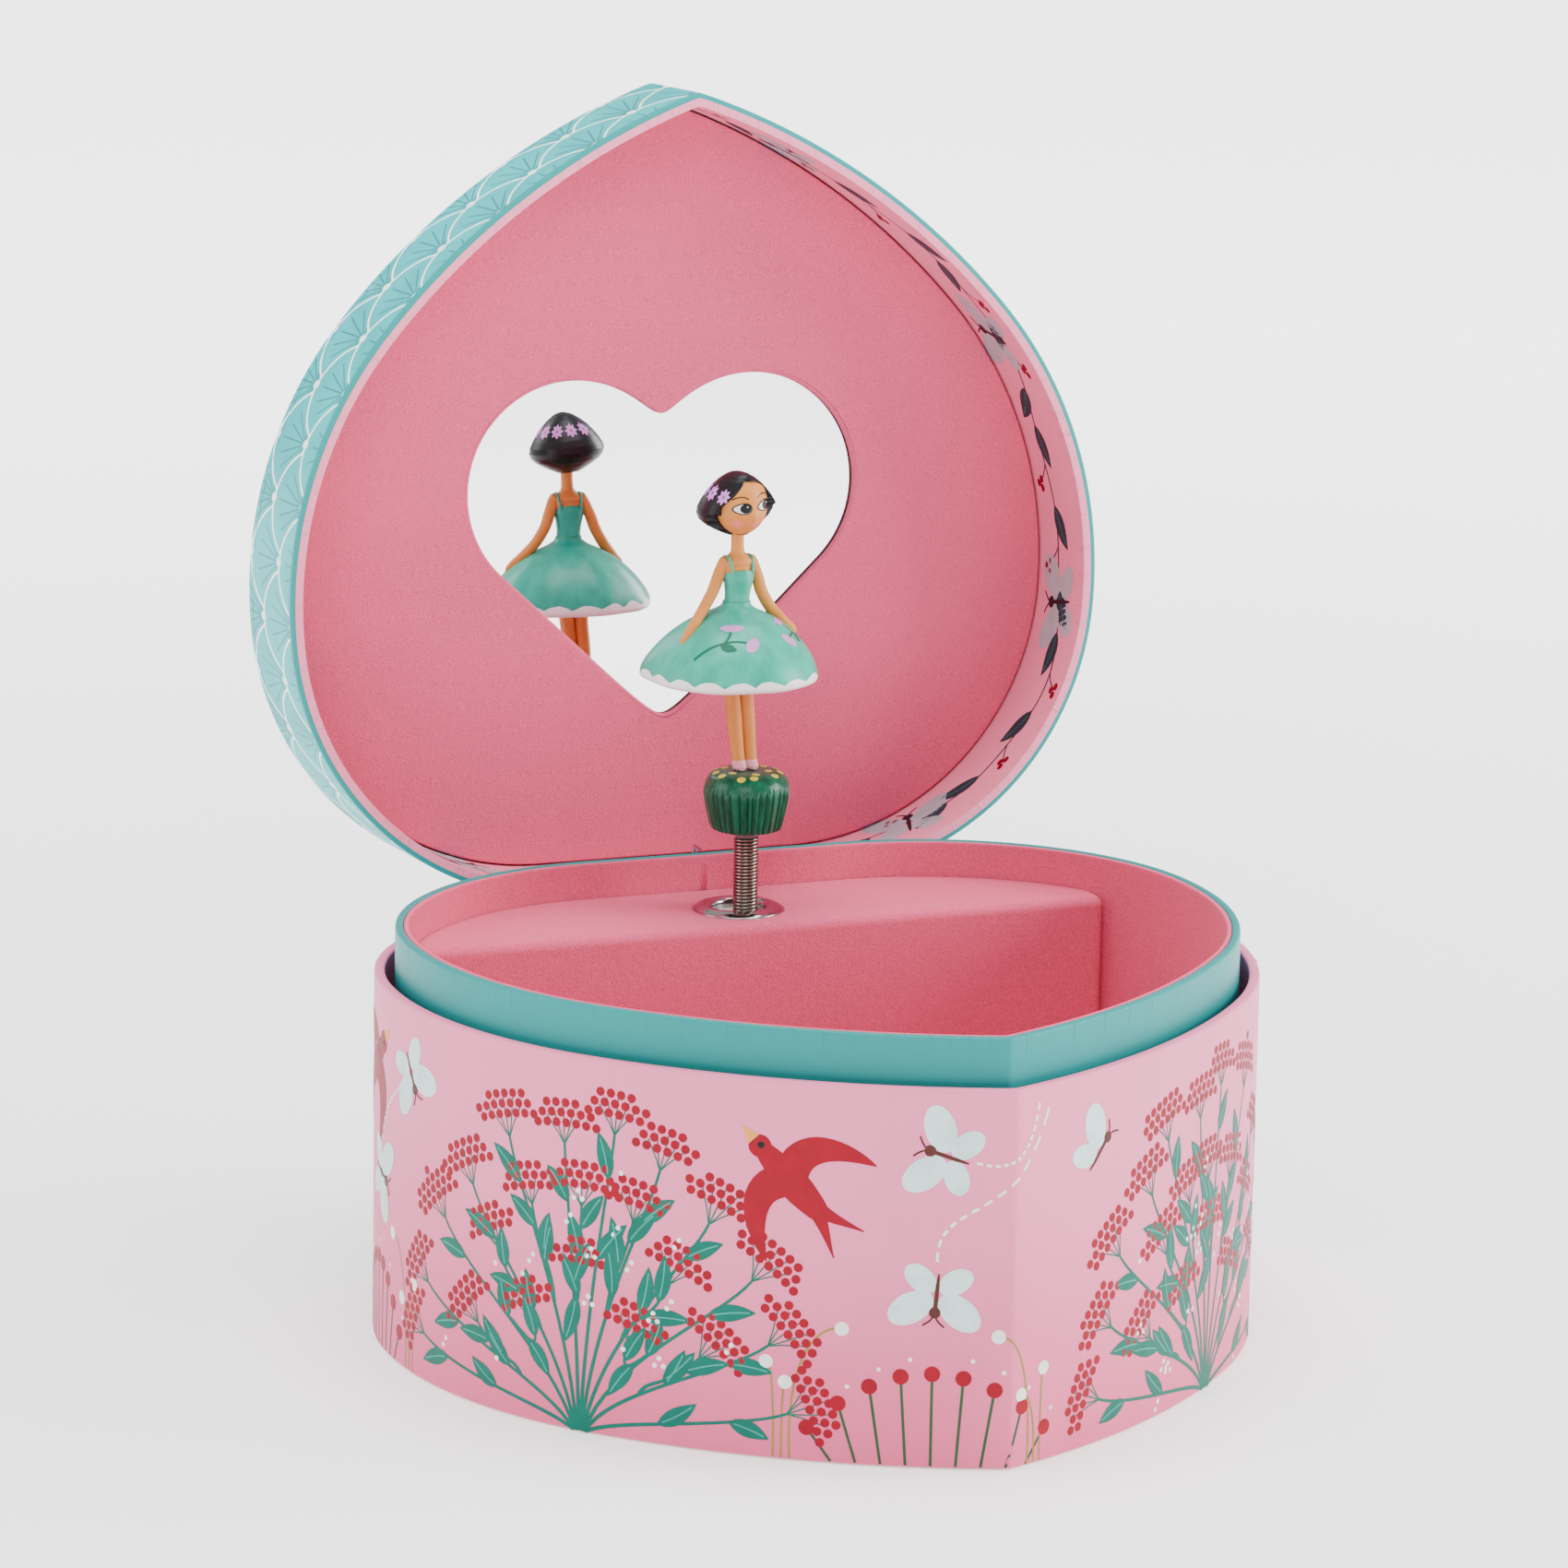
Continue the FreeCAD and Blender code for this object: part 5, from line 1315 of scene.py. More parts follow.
class MUSICBOX_OT_plinth(Build):
    """Painted plinth with carved flutes and yellow dots, and the grey plug under it"""
    bl_idname = "music_box.plinth"
    bl_label = "Plinth and plug"

    def make(self):
        centre = (0, SPINDLE_Y)
        high = PLINTH_HIGH
        tall = high - PLINTH_LOW
        outline = smooth_path([(0.3, 0), (4.0, 0.0), (6.2, 0.1), (6.85, 0.9), (7.5, 0.3 * tall),
                               (8.05, 0.55 * tall), (8.2, 0.68 * tall), (7.9, 0.81 * tall),
                               (7.0, 0.925 * tall), (5.4, 0.985 * tall), (3.0, tall), (0.3, tall)], 72)
        outline[:, 1] = np.clip(outline[:, 1], 0, tall)
        sides = 420
        rings = lathe(outline, (0, 0), sides)
        angles = np.arange(sides) / sides * TAU
        rng = np.random.default_rng(4)
        edges = np.cumsum(rng.uniform(0.6, 1.4, 34))
        edges = edges / edges[-1] * TAU
        nearest = np.abs((angles[:, None] - edges[None] + math.pi) % TAU - math.pi).min(1)
        groove = np.exp(-(nearest / 0.032) ** 2)
        height = outline[:, 1] / tall
        fade = np.interp(height, [0, 0.05, 0.62, 0.80, 1], [0.5, 1, 1, 0, 0])
        fade *= np.interp(outline[:, 0], [5.0, 6.4], [0, 1])
        wobble = np.interp(angles, np.linspace(0, TAU, 40), rng.uniform(-1, 1, 40), period=TAU)
        cut = fade[:, None] * (0.42 * groove - 0.2 * wobble)[None]
        rings[..., :2] *= (1 - cut / 8.0)[..., None]
        rings += [centre[0], centre[1], PLINTH_LOW]
        skin = Skin()
        skin.loft(rings)
        made_finish = [plinth_paint(), ink("plinth_dots", INK_TONES["yellow"], 0.8, 0.35)]
        dots = Ink(0.10)
        dots.under = -0.4
        for reach, count, start in ((4.4, 6, 0.5), (6.3, 11, 0.1)):
            for sweep in start + np.arange(count) / count * TAU:
                turn = sweep + rng.uniform(-0.12, 0.12)
                far = reach + rng.uniform(-0.35, 0.35)
                spot = [far * math.cos(turn), far * math.sin(turn)]
                dots.patch(oval(spot, 0.85, 0.68, turn + math.pi / 2 + rng.uniform(-0.5, 0.5), 14),
                           spot, rings=2)
        top_radius, top_height = outline[::-1, 0], outline[::-1, 1]

        def top_sheet(points):
            far = np.linalg.norm(points[:, :2], axis=1)
            z = np.interp(far, top_radius[:24], top_height[:24])
            return np.column_stack([points[:, 0] + centre[0], points[:, 1] + centre[1],
                                    z + points[:, 2] + PLINTH_LOW])

        dots.onto(skin, top_sheet, 1)
        piece("dancer_plinth_painted", skin, made_finish, "dancer", ["dancer_plinth"])
        low, top = (corner[2] for corner in node_mm("spring_plug"))
        skin = Skin()
        plug = smooth_path([(0.2, low), (1.45, low), (1.6, low + 0.3), (1.6, top - 1.35), (2.35, top - 1.3),
                            (2.75, top - 0.9), (3.15, top - 0.35), (3.2, top), (0.2, top)], 50)
        skin.loft(lathe(plug, centre, 48))
        piece("spring_plug_grey", skin, [plastic("plug_grey", (0.23, 0.225, 0.22), 0.4)], "dancer",
              ["spring_plug"])


class Figure:
    """The dancer's shapes, in millimetres from the spindle's axis and the plinth's top."""

    skirt_outline = [(16.5, 18.2), (16.75, 18.8), (16.5, 20.2), (15.4, 22.2), (13.6, 24.5), (11.5, 26.6),
                     (9.0, 28.5), (6.2, 30.0), (4.2, 30.9), (2.9, 31.8), (2.6, 32.6)]
    head_centre = 51.0
    lean_way = np.array([-0.93, 0.37])

    @staticmethod
    def placed(points, turn, lean=((0, 0.1), (18, 1.25), (26, 1.1), (31, 0.93), (36, 0.8), (44, 0.9))):
        """Turns figure points about the axis, leans them by share of the lean, stands them up."""
        c, s = math.cos(turn), math.sin(turn)
        x, y, z = points[..., 0], points[..., 1], points[..., 2]
        heights, shares = zip(*lean)
        away = np.interp(z, heights, shares) * sizes().figure_lean / MM
        return np.stack([x * c - y * s + away * Figure.lean_way[0],
                         SPINDLE_Y + x * s + y * c + away * Figure.lean_way[1], z + PLINTH_HIGH], -1)

    @staticmethod
    def head_placed(points):
        """Head points from its own middle: tilted, moved forward, turned and stood up."""
        tilt = sizes().head_tilt
        x, y, z = points[..., 0], points[..., 1], points[..., 2]
        tilted = np.stack([x * math.cos(tilt) - z * math.sin(tilt), y - 0.9,
                           x * math.sin(tilt) + z * math.cos(tilt) + Figure.head_centre], -1)
        return Figure.placed(tilted, sizes().figure_turn + sizes().head_turn)


def skirt_profile(count=46):
    return smooth_path(Figure.skirt_outline, count)


def skirt_radius(turn, share):
    """Gentle lobes round the hem, fading to nothing at the waist."""
    lobes = 0.30 * np.sin(5 * turn + 0.6) + 0.18 * np.sin(9 * turn + 2.0)
    return lobes * share ** 1.5


def head_half(z):
    """Half width of the head at a height from its middle: an oval narrowed towards the chin."""
    oval_part = np.clip(1 - np.abs(z / np.where(z < 0, 5.6, 5.9)) ** 2.6, 0, 1) ** 0.5
    jaw = np.clip(-z / 5.6, 0, 1)
    return 5.1 * oval_part * (1 - 0.22 * jaw ** 1.6)


def face_front(x, z):
    """How far the face stands out at a place: the head's curve plus nose, lips and chin."""
    half = np.maximum(head_half(z), 1e-3)
    curve = 4.9 * head_half(z) / 5.1 * np.sqrt(np.clip(1 - (x / half) ** 2, 0, 1))
    nose = 0.55 * np.exp(-(x / 0.8) ** 2 - ((z + 1.6) / 0.9) ** 2)
    lips = 0.35 * np.exp(-(x / 1.1) ** 2 - ((z + 3.0) / 0.7) ** 2)
    return curve + nose + lips


def face_sheet(points):
    """Lays (x, z, lift) points on the face."""
    x, z, lift = points[:, 0], points[:, 1], points[:, 2]
    local = np.column_stack([x, -face_front(x, z), z])
    away = local / np.linalg.norm(local, axis=1, keepdims=True)
    return Figure.head_placed(local + away * lift[:, None])


HAIR_TOP, HAIR_TALL, HAIR_WIDE, HAIR_BACK, HAIR_FRONT = 6.5, 12.0, 7.6, 9.0, 6.3
HAIR_SHARE = ((0, 0.03), (0.02, 0.16), (0.05, 0.27), (0.12, 0.43), (0.23, 0.62), (0.34, 0.76), (0.44, 0.87),
              (0.55, 0.965), (0.64, 1.0), (0.72, 0.965), (0.80, 0.85), (0.88, 0.66), (0.95, 0.46), (1, 0.3))
HAIRLINE = ((-92, -9), (-86, -1.1), (-67, -0.9), (-63, 0.6), (-37, 2.6), (-14, 5.2), (30, 4.5), (54, 3.0),
            (63, 1.0), (67, -0.9), (86, -1.1), (92, -9))


def hair_at(bearing, z, lift=0.0):
    """Hair's surface at a bearing from the face, in radians, and a height: a ring whose size
    follows the hair's profile, deeper behind than in front."""
    share = np.interp((HAIR_TOP - z) / HAIR_TALL, *zip(*HAIR_SHARE))
    x = (HAIR_WIDE * share + lift) * np.sin(bearing)
    depth = np.where(np.cos(bearing) > 0, HAIR_FRONT * share ** 0.45, HAIR_BACK * share)
    y = -(depth + lift) * np.cos(bearing)
    return np.stack([x, y + 0.8, np.broadcast_to(z, x.shape)], -1)


class MUSICBOX_OT_dancer(Build):
    """Painted figure: legs, bell skirt, bodice, arms, head with a drawn face, and hair"""
    bl_idname = "music_box.dancer"
    bl_label = "Dancer"

    def make(self):
        turn = sizes().figure_turn
        places = face_sheet(np.array([[-3.0, -2.6, 0.0], [3.0, -2.6, 0.0]])) * MM
        cheeks = [tuple(float(v) for v in place) for place in places]
        finish = skin_paint(cheeks)
        self.limbs(turn, finish)
        self.dress(turn)
        self.head(finish)
        self.hair()

    def limbs(self, turn, finish):
        skin = Skin()
        heights = np.linspace(0.5, 27.5, 34)
        legs_lean = ((0, 0.1), (28, 1.05))
        for side in (-1, 1):
            radius = np.interp(heights, [0.5, 2.0, 5, 10, 14, 18, 27.5],
                               [1.2, 1.22, 1.3, 1.52, 1.48, 1.55, 1.7])
            path = np.stack([side * np.interp(heights, [0, 27], [1.22, 1.6]),
                             np.interp(heights, [0.5, 9, 27.5], [0.2, 0.4, 0.1]), heights], -1)
            skin.loft(Figure.placed(tube(path, radius, 28), turn, legs_lean))
            hand_z = 25.2 + 0.4 * side
            arm = smooth_path([(side * 2.0, 0.1, 40.6), (side * 2.9, 0.1, 39.9), (side * 4.2, 0.4, 36.9),
                               (side * 5.2, 0.5, 34.2), (side * 7.0, 0.1, 31.2), (side * 9.2, -1.2, 28.6),
                               (side * 10.7, -2.1, 26.8), (side * 11.7, -2.6, hand_z)], 40)
            girth = np.interp(np.linspace(0, 1, 40), [0, 0.1, 0.3, 0.5, 0.75, 0.9, 0.97, 1],
                              [0.7, 1.2, 1.18, 1.12, 1.05, 1.2, 0.9, 0.3])
            flat = np.interp(np.linspace(0, 1, 40), [0, 0.72, 0.9, 1], [1, 1, 0.62, 0.5])
            skin.loft(Figure.placed(tube(arm, girth, 22, flat), turn))
        chest = smooth_path([(2.6, 36.0), (2.9, 37.6), (3.3, 39.2), (3.2, 40.2), (2.3, 41.1), (1.4, 42.0),
                             (1.22, 43.4), (1.25, 45.6), (1.4, 47.0)], 40)
        angles = np.arange(40) / 40 * TAU
        depth = np.interp(chest[:, 1], [36, 39.5, 42.0], [0.85, 0.62, 1.0])
        rings = np.stack([chest[:, :1] * np.cos(angles), chest[:, :1] * depth[:, None] * np.sin(angles),
                          np.broadcast_to(chest[:, 1:], (40, 40))], -1)
        skin.loft(Figure.placed(rings, turn))
        piece("figure_limbs", skin, [finish], "dancer", ["dancer_figure"])
        shoes = Skin()
        for side in (-1, 1):
            path = smooth_path([(side * 1.2, 1.1, 0.75), (side * 1.22, 0.2, 0.95), (side * 1.3, -0.7, 0.75),
                                (side * 1.35, -1.4, 0.55)], 16)
            girth = np.sin(np.linspace(0.35, math.pi - 0.4, 16)) * 1.15 + 0.1
            shoes.loft(Figure.placed(tube(path, girth, 20, 0.8, (0, 0, 1)), turn, legs_lean))
            cuff = lathe([(1.3, 0.4), (1.36, 1.0), (1.33, 1.7), (1.22, 2.0)], (side * 1.22, 0.2), 24)
            shoes.loft(Figure.placed(cuff, turn, legs_lean))
        piece("figure_slippers", shoes, [paint("slipper_paint", (0.66, 0.25, 0.30), (0.72, 0.33, 0.38))],
              "dancer")

    def dress(self, turn):
        skin = Skin()
        outline = skirt_profile()
        inside = outline[1:34] - [0.9, 0.55]
        inside[:, 0] = np.maximum(inside[:, 0], 0.4)
        profile = np.concatenate([inside[::-1], outline])
        sides = 160
        angles = np.arange(sides) / sides * TAU
        share = np.clip((profile[:, 0] - 3.3) / 13.3, 0, 1)
        far = profile[:, :1] + skirt_radius(angles[None], share[:, None])
        rings = np.stack([far * np.cos(angles), far * np.sin(angles),
                          np.broadcast_to(profile[:, 1:], far.shape)], -1)
        run = np.concatenate([[0], np.cumsum(np.linalg.norm(np.diff(outline, axis=0), axis=1))])
        down = np.concatenate([np.full(len(inside), 0.0), run])
        places = np.stack(np.broadcast_arrays(angles[None] * 16.6, down[:, None]), -1)
        skin.loft(Figure.placed(rings, turn), 0, places)
        body = smooth_path([(2.6, 31.2), (2.45, 32.8), (2.5, 34.2), (2.75, 35.8), (3.05, 37.2), (3.1, 38.2),
                            (2.95, 38.5)], 30)
        around = np.arange(64) / 64 * TAU
        dip = 0.3 * np.cos(2 * around + math.pi)
        heights = np.broadcast_to(body[:, 1:], (30, 64)) + np.linspace(0, 1, 30)[:, None] ** 4 * dip
        bust = 0.4 * np.exp(-((body[:, 1] - 36.6) / 1.4) ** 2)[:, None] * np.clip(-np.sin(around), 0, 1) ** 2
        rings = np.stack([body[:, :1] * np.cos(around),
                          (body[:, :1] * 0.86 + bust) * np.sin(around), heights], -1)
        skin.loft(Figure.placed(rings, turn), 0, np.full((30, 64, 2), 9.0))
        for side in (-1, 1):
            for way in (-1, 1):
                strap = smooth_path([(side * 2.0, way * 2.1, 38.0), (side * 2.2, way * 1.9, 39.6),
                                     (side * 2.35, way * 1.1, 41.0), (side * 2.35, 0, 41.25)], 14)
                skin.loft(Figure.placed(tube(strap, 0.26, 10), turn), 0, np.full((14, 10, 2), 9.0))
        piece("figure_dress", skin, [dress_paint()], "dancer", sharp=60)
        self.dress_print(turn, outline, run)

    def dress_print(self, turn, outline, run):
        """Flowers painted on the skirt: flat lilac heads on a forked stem with a leaf."""
        skin = Skin()
        for bearing, flip in ((-35, 1), (62, -1)):
            stalk, lilac = Ink(0.05), Ink(0.08)
            way = np.array([flip, 1])
            for line in ([[-5.4, -4.2], [-3.2, -1.6], [-1.6, -0.5], [0, 0]],
                         [[0, 0], [0.5, 1.0], [0.7, 1.8], [0.7, 2.9]],
                         [[-0.6, -0.2], [1.2, 0.7], [2.8, 0.6], [4.3, 0.1]]):
                stalk.stroke(bezier(np.array(line) * way, 12), 0.24)
            heading = math.pi / 2 - flip * (math.pi / 2 + 0.32)
            stalk.leaf(np.array([-0.6, -0.5]) * way, heading, 3.4, 1.7, 0.01)
            for head, half_x, half_y in (([0.8, 3.9], 2.3, 1.0), ([5.5, -0.5], 1.3, 1.7)):
                spot = np.array(head) * way
                sweep = np.arange(26) / 26 * TAU
                frill = 1 + 0.07 * np.cos(sweep * 9)
                rim = np.stack([half_x * np.cos(sweep) * frill, half_y * np.sin(sweep) * frill], -1)
                lilac.patch(rim + spot, spot, rings=2)

            def skirt_sheet(points):
                down = 10.3 + points[:, 1]
                far, high = np.interp(down, run, outline[:, 0]), np.interp(down, run, outline[:, 1])
                slope = np.gradient(outline, run, axis=0)
                out_r, out_z = np.interp(down, run, slope[:, 1]), -np.interp(down, run, slope[:, 0])
                angles = math.radians(bearing) - math.pi / 2 + points[:, 0] / far
                far = far + skirt_radius(angles, np.clip((far - 3.3) / 13.3, 0, 1)) + out_r * points[:, 2]
                return Figure.placed(np.column_stack([far * np.cos(angles), far * np.sin(angles),
                                                      high + out_z * points[:, 2]]), turn)

            stalk.onto(skin, skirt_sheet, 0)
            lilac.onto(skin, skirt_sheet, 1)
        finishes = [ink("dress_stem_paint", (0.002, 0.12, 0.065)),
                    ink("dress_lilac_paint", INK_TONES["lilac"])]
        piece("figure_dress_flowers", skin, finishes, "dancer", sharp=60)

    def head(self, finish):
        sides = 96
        z = np.concatenate([-5.6 * np.cos(np.linspace(0.03, math.pi / 2, 30))[:-1],
                            5.9 * np.sin(np.linspace(0, math.pi / 2 - 0.03, 31))])
        around = np.arange(sides) / sides * TAU
        half = head_half(z)[:, None]
        x = half * np.sin(around)
        z_grid = np.broadcast_to(z[:, None], x.shape)
        y = np.where(np.cos(around) > 0, -face_front(x, z_grid), -4.6 * half / 5.1 * np.cos(around))
        skin = Skin()
        skin.loft(Figure.head_placed(np.stack([x, y, z_grid], -1)))
        piece("figure_head", skin, [finish], "dancer", sharp=60)
        inks = {"white": Ink(0.05), "dark": Ink(0.075), "lips": Ink(0.05), "glint": Ink(0.11)}
        t = np.arange(26) / 26 * TAU
        for side in (-1, 1):
            middle = np.array([side * 2.3 + 0.1, 0.35])
            almond = np.stack([1.62 * np.cos(t), 0.98 * np.sin(t) * (1 + 0.2 * np.cos(t))], -1)
            rim = turned(almond, middle, side * 0.06)
            inks["white"].patch(rim, middle, rings=3)
            pupil = middle + [0.5, 0.02]
            inks["dark"].patch(oval(pupil, 1.02, 0.90, 0, 22), pupil, rings=3)
            inks["glint"].dots([pupil + [0.3, 0.3]], 0.13)
            inks["dark"].stroke(np.concatenate([rim, rim[:2]]), 0.10, 0.02)
            brow = bezier([[side * 1.0, 2.0], [side * 1.7, 2.75], [side * 2.9, 2.75], [side * 3.7, 2.1]], 12)
            inks["dark"].stroke(brow, 0.09)
        upper = [[-0.9, -3.05], [-0.45, -2.7], [0, -2.75], [0.45, -2.7], [0.9, -3.05], [0.5, -3.4],
                 [0, -3.5], [-0.5, -3.4]]
        inks["lips"].patch(smooth_path(upper + upper[:1], 25)[:-1], [0, -3.05], rings=3)
        skin = Skin()
        for number, key in enumerate(("white", "dark", "lips", "glint")):
            inks[key].onto(skin, face_sheet, number)
        finishes = [ink("eye_white_paint", (0.80, 0.78, 0.75), 0.95, 0.3),
                    ink("eye_black_paint", (0.004, 0.004, 0.005), 1.5, 0.25),
                    ink("lip_paint", (0.72, 0.17, 0.21), 0.9, 0.35),
                    ink("eye_glint_paint", (0.85, 0.85, 0.85), 0.97, 0.3)]
        piece("figure_face", skin, finishes, "dancer", sharp=60)

    def hair(self):
        """Bob with a swept fringe: the hair's surface drawn back inside the head over the face."""
        rows, sides = 100, 240
        z = HAIR_TOP - HAIR_TALL * np.linspace(0, 1, rows) ** 1.15
        around = np.arange(sides) / sides * TAU
        points = hair_at(around[None] + 0 * z[:, None], z[:, None])
        bearing = np.degrees((around + math.pi) % TAU - math.pi)
        line = np.interp(bearing, *zip(*HAIRLINE))
        window = 1 / (1 + np.exp(np.clip((z[:, None] - line[None]) / 0.10, -40, 40)))
        points[..., :2] = (points[..., :2] - [0, 0.8]) * (1 - 0.42 * window)[..., None] + [0, 0.8]
        skin = Skin()
        skin.loft(Figure.head_placed(points))
        petals, hearts = Ink(0.10), Ink(0.16)
        petals.under = hearts.under = -0.5
        turn = np.arange(40) / 40 * TAU
        star = 1.0 + 0.24 * np.cos(8 * turn)
        outline = 1.1 * np.stack([star * np.cos(turn), star * np.sin(turn)], -1)
        for sweep, up in ((-60, 2.7), (-93, 3.1), (-124, 3.2), (-155, 3.2), (174, 3.2), (143, 3.1)):
            spot = np.array([math.radians(sweep) * 5.6, up])
            petals.patch(outline + spot, spot, rings=3)
            hearts.dots([spot], 0.30)

        def hair_sheet(points):
            return Figure.head_placed(hair_at(points[:, 0] / 5.6, points[:, 1], points[:, 2]))

        petals.onto(skin, hair_sheet, 1)
        hearts.onto(skin, hair_sheet, 2)
        finishes = [hair_paint(), ink("hair_flower_paint", (0.52, 0.20, 0.56), 0.85, 0.4),
                    ink("hair_flower_heart", (0.25, 0.06, 0.30), 0.9, 0.4)]
        piece("figure_hair", skin, finishes, "dancer", sharp=75)


class MUSICBOX_OT_key(Build):
    """Cast wing key behind the box"""
    bl_idname = "music_box.key"
    bl_label = "Winding key"

    def make(self):
        low, high = node_mm("winding_key")
        axis_z = (low[2] + high[2]) / 2
        start, end = low[1], high[1]
        skin = Skin()
        hub = smooth_path([(1.7, 0.0), (2.9, 0.0), (3.35, 0.45), (3.4, 3.0), (3.3, 7.5), (3.0, 9.6),
                           (1.8, 11.0), (0.3, 11.4)], 40)
        bore = np.array([(0.3, 5.0), (1.55, 5.0), (1.55, 0.2)])
        profile = np.concatenate([bore, hub])
        angles = np.arange(56) / 56 * TAU
        along = np.broadcast_to(profile[:, 1:] + start, (len(profile), len(angles)))
        rings = np.stack([profile[:, :1] * np.cos(angles), along,
                          axis_z + profile[:, :1] * np.sin(angles)], -1)
        skin.loft(rings)
        for side in (-1, 1):
            middle = np.array([side * 7.2, start + 15.6])
            turn = np.arange(56) / 56 * TAU
            outer = np.stack([5.8 * np.cos(turn), 7.3 * np.sin(turn)], -1) + middle
            outer[:, 1] = np.minimum(outer[:, 1], end - 0.05)
            hole = np.stack([2.2 * np.cos(turn), 2.5 * np.sin(turn)], -1) + middle
            rows = []
            section = np.arange(16) / 16 * TAU
            for a in section:
                share = 0.5 + 0.5 * math.cos(a)
                rows.append(np.column_stack([hole * (1 - share) + outer * share,
                                             np.full(56, axis_z + 1.1 * math.sin(a))]))
            skin.ring_grid(np.array(rows), close_rows=True)
        finish = metal("key_nickel", (0.60, 0.58, 0.56), 0.2, 0.15, 500)
        piece("wing_key", skin, [finish], "key", ["winding_key"])


class MUSICBOX_OT_finishes(Build):
    """Finishes for the pieces that keep the shape they were designed with"""
    bl_idname = "music_box.finishes"
    bl_label = "Finish the other pieces"

    def make(self):
        c = colours()
        groups = {
            paper("base_paper", (0.66, 0.62, 0.58), (0.72, 0.68, 0.64)): ["bottom_paper"],
            board("greyboard", (0.42, 0.40, 0.37)): ["bottom_board", "panel_backing"],
            flock("flock_floor", tuple(c.flock)): ["compartment_floor", "mechanism_cover"],
            mirror_finish(): ["mirror"],
            paper("tape_paper", shade(c.turquoise, 0.95), shade(c.turquoise, 1.1)):
                ["hinge_tape_base", "hinge_tape_lid"],
            metal("zinc_casting", (0.42, 0.43, 0.45), 0.42, 0.3, 260): ["movement_frame"],
            metal("turned_brass", (0.70, 0.46, 0.17), 0.26, 0.2, 500, (1, 4, 1)):
                ["mainspring_barrel", "barrel_lid", "pinned_cylinder", "train_wheel"],
            metal("blued_steel", (0.12, 0.14, 0.20), 0.28, 0.2, 600):
                ["frame_screws", "comb_screws", "comb", "click", "ratchet_wheel"],
            metal("bright_steel", (0.50, 0.50, 0.51), 0.25, 0.2, 700):
                ["winding_arbor", "cylinder_arbor", "governor_arbor", "dancer_spindle", "stop_wire",
                 "mainspring"],
            plastic("white_plastic", (0.76, 0.76, 0.73)): ["spindle_bush", "governor_fan", "spindle_pinion"],
        }
        for finish, nodes in groups.items():
            for node in nodes:
                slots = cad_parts[node].data.materials
                if not len(slots):
                    slots.append(finish)
                for number in range(len(slots)):
                    slots[number] = finish


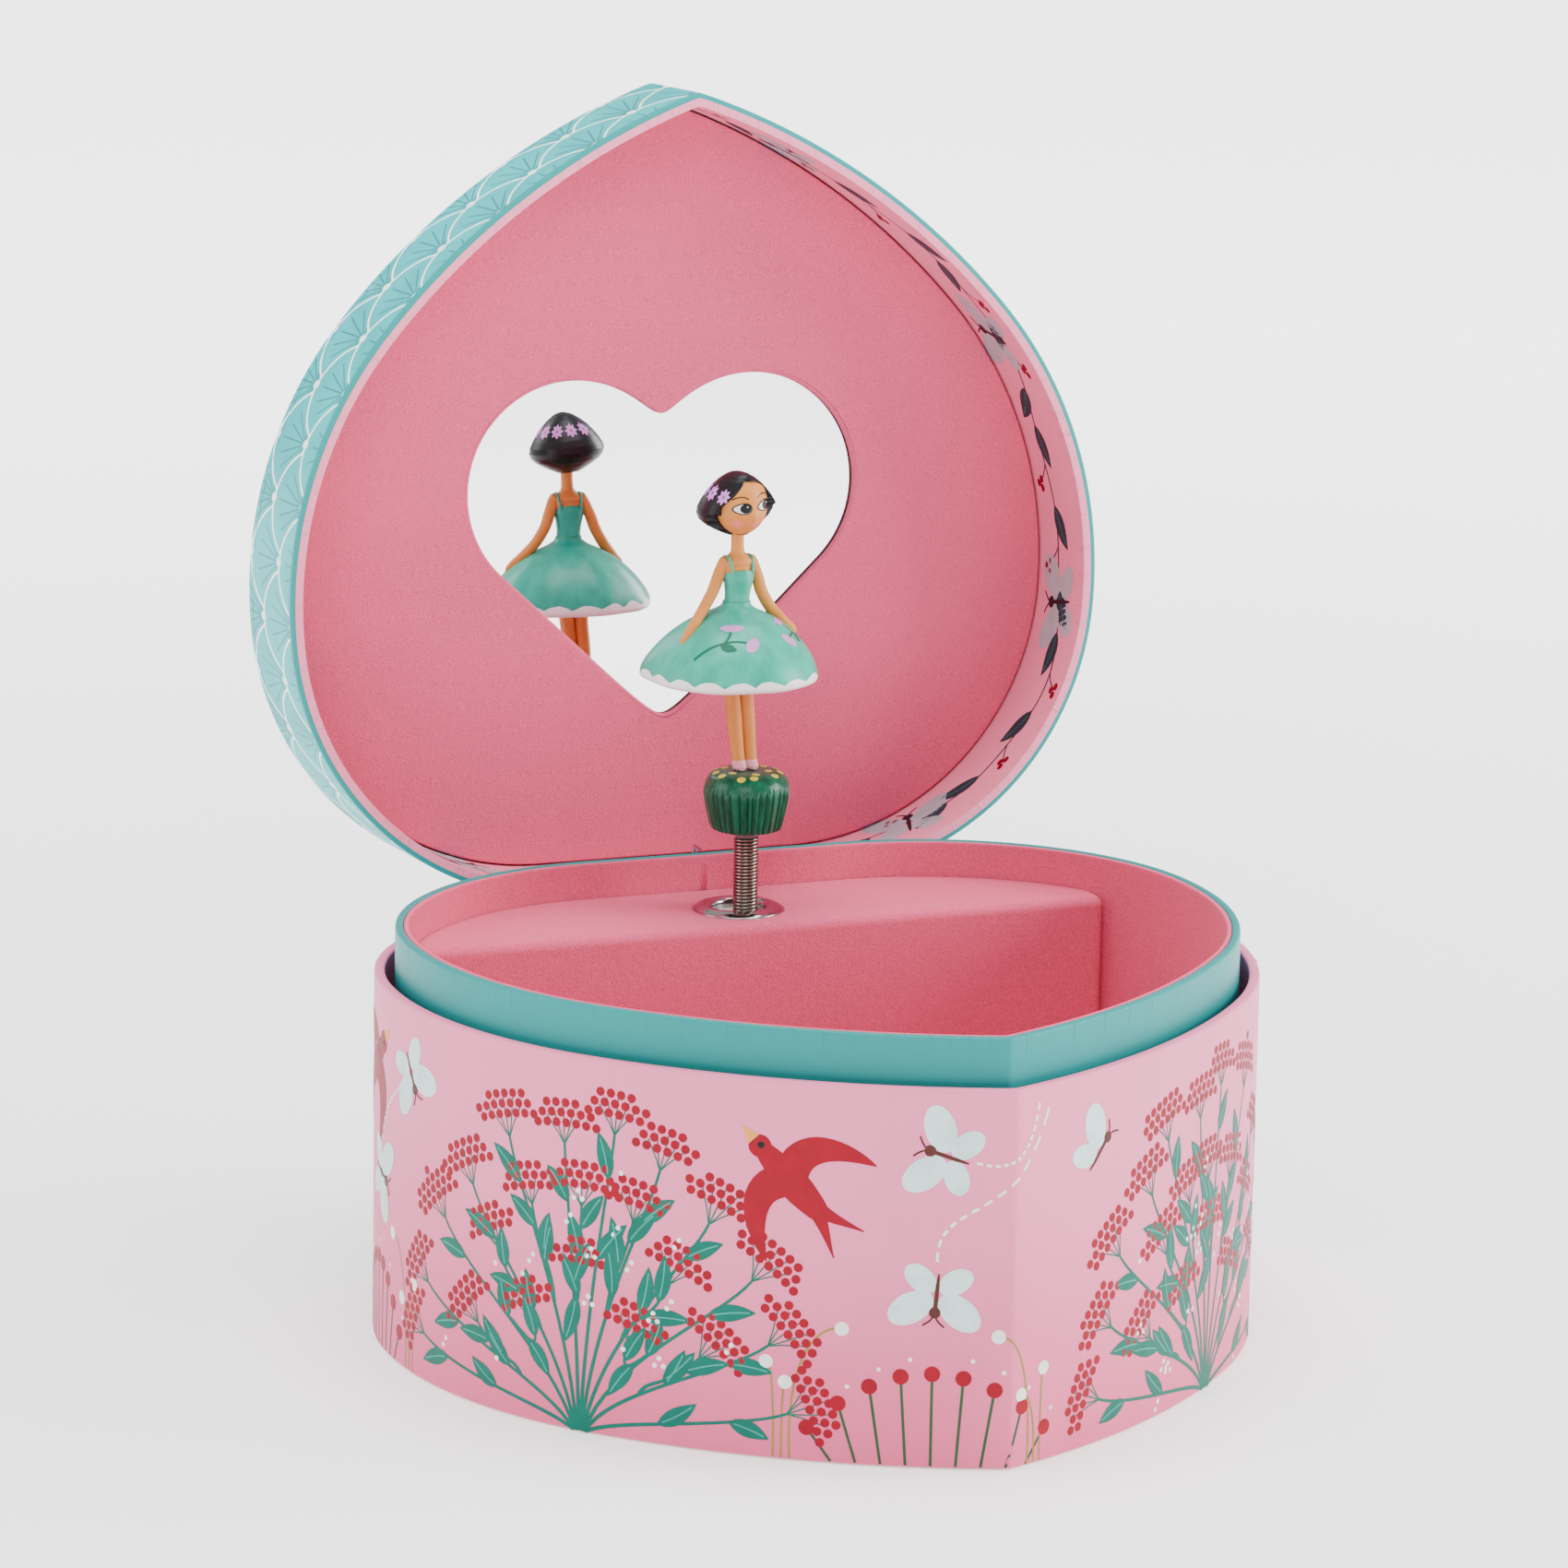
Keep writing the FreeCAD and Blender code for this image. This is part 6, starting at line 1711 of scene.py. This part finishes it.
class MUSICBOX_OT_stage(Build):
    """Pale floor that glows as painted light, dimmer near the box, soft studio lights and the camera"""
    bl_idname = "music_box.stage"
    bl_label = "Stage"

    def make(self):
        half = 9.0
        mesh = bpy.data.meshes.new("floor")
        corners = [(-half, -half, 0), (half, -half, 0), (half, half, 0), (-half, half, 0)]
        mesh.from_pydata(corners, [], [(0, 1, 2, 3)])
        floor = bpy.data.objects.new("floor", mesh)
        bpy.context.scene.collection.objects.link(floor)
        f = Finish("pale_glowing_floor", 0.6)
        f.colour(f.blend(f.noise(3, 2), (0.93, 0.93, 0.93), (0.96, 0.96, 0.96)))
        # painted light: the floor glows at 0.7 near the box, rising to 2.9 far off, and this glow also lights
        # the box
        f.shader.inputs["Emission Color"].default_value = (1.0, 1.0, 1.0, 1.0)
        away = f.node("VectorMath", {0: f.coords.outputs["Object"]}, operation="LENGTH").outputs["Value"]
        glow = f.math("MULTIPLY_ADD", f.soft(away, 0.15, 1.3), 2.2, 0.7)
        f.feed(f.shader.inputs["Emission Strength"], glow)
        mesh.materials.append(f.material)
        world = bpy.data.worlds.new("studio")
        world.use_nodes = True
        world.node_tree.nodes["Background"].inputs[0].default_value = (1.0, 1.0, 1.0, 1.0)
        world.node_tree.nodes["Background"].inputs[1].default_value = 0.68
        bpy.context.scene.world = world
        target = Vector((0.0, 0.02, 0.09))
        for name, spot, size, power in (("top_light", (0.05, 0.15, 1.3), 0.9, 22.0),
                                        ("right_light", (1.25, -0.45, 0.55), 0.7, 24.0),
                                        ("front_light", (-0.75, -1.35, 1.0), 0.9, 12.0),
                                        ("left_light", (-1.3, 0.35, 0.6), 0.9, 10.0)):
            light = bpy.data.lights.new(name, "AREA")
            light.energy, light.size = power, size
            lamp = bpy.data.objects.new(name, light)
            bpy.context.scene.collection.objects.link(lamp)
            lamp.location = spot
            lamp.rotation_euler = (target - Vector(spot)).to_track_quat("-Z", "Y").to_euler()
        camera = bpy.data.cameras.new("camera")
        camera.sensor_width, camera.lens = 36.0, 158.8
        camera.clip_end = 50.0
        eye = bpy.data.objects.new("camera", camera)
        bpy.context.scene.collection.objects.link(eye)
        yaw, pitch, roll = (math.radians(a) for a in (21.70, 12.94, 0.96))
        ahead = Vector((math.sin(yaw) * math.cos(pitch), math.cos(yaw) * math.cos(pitch), -math.sin(pitch)))
        right = Vector((math.cos(yaw), -math.sin(yaw), 0.0))
        up = right.cross(ahead)
        across = right * math.cos(roll) + up * math.sin(roll)
        upright = up * math.cos(roll) - right * math.sin(roll)
        turn = Matrix((across, upright, -ahead)).transposed().to_4x4()
        eye.matrix_world = Matrix.Translation((-0.46568, -1.13441, 0.38823)) @ turn
        bpy.context.scene.camera = eye


OPERATORS = (MUSICBOX_OT_body_wall, MUSICBOX_OT_body_print, MUSICBOX_OT_neck, MUSICBOX_OT_lid_shell,
             MUSICBOX_OT_lid_print, MUSICBOX_OT_panel, MUSICBOX_OT_eyelet, MUSICBOX_OT_spring,
             MUSICBOX_OT_plinth, MUSICBOX_OT_dancer, MUSICBOX_OT_key, MUSICBOX_OT_finishes,
             MUSICBOX_OT_stage)


class MUSICBOX_PT_panel(bpy.types.Panel):
    bl_label = "Music Box"
    bl_idname = "MUSICBOX_PT_panel"
    bl_space_type = "VIEW_3D"
    bl_region_type = "UI"
    bl_category = "Music Box"

    def draw(self, context):
        for operator in OPERATORS:
            self.layout.operator(operator.bl_idname)
        for group in (context.scene.music_box_sizes, context.scene.music_box_colours):
            for name in group.bl_rna.properties.keys():
                if name not in ("name", "rna_type"):
                    self.layout.prop(group, name)


CLASSES = (BoxSizes, BoxColours) + OPERATORS + (MUSICBOX_PT_panel,)


def register():
    for item in CLASSES:
        bpy.utils.register_class(item)
    bpy.types.Scene.music_box_sizes = bpy.props.PointerProperty(type=BoxSizes)
    bpy.types.Scene.music_box_colours = bpy.props.PointerProperty(type=BoxColours)


def unregister():
    del bpy.types.Scene.music_box_colours
    del bpy.types.Scene.music_box_sizes
    for item in reversed(CLASSES):
        bpy.utils.unregister_class(item)


def main():
    register()
    for operator in OPERATORS:
        group, name = operator.bl_idname.split(".")
        getattr(getattr(bpy.ops, group), name)()


if __name__ == "__main__":
    main()
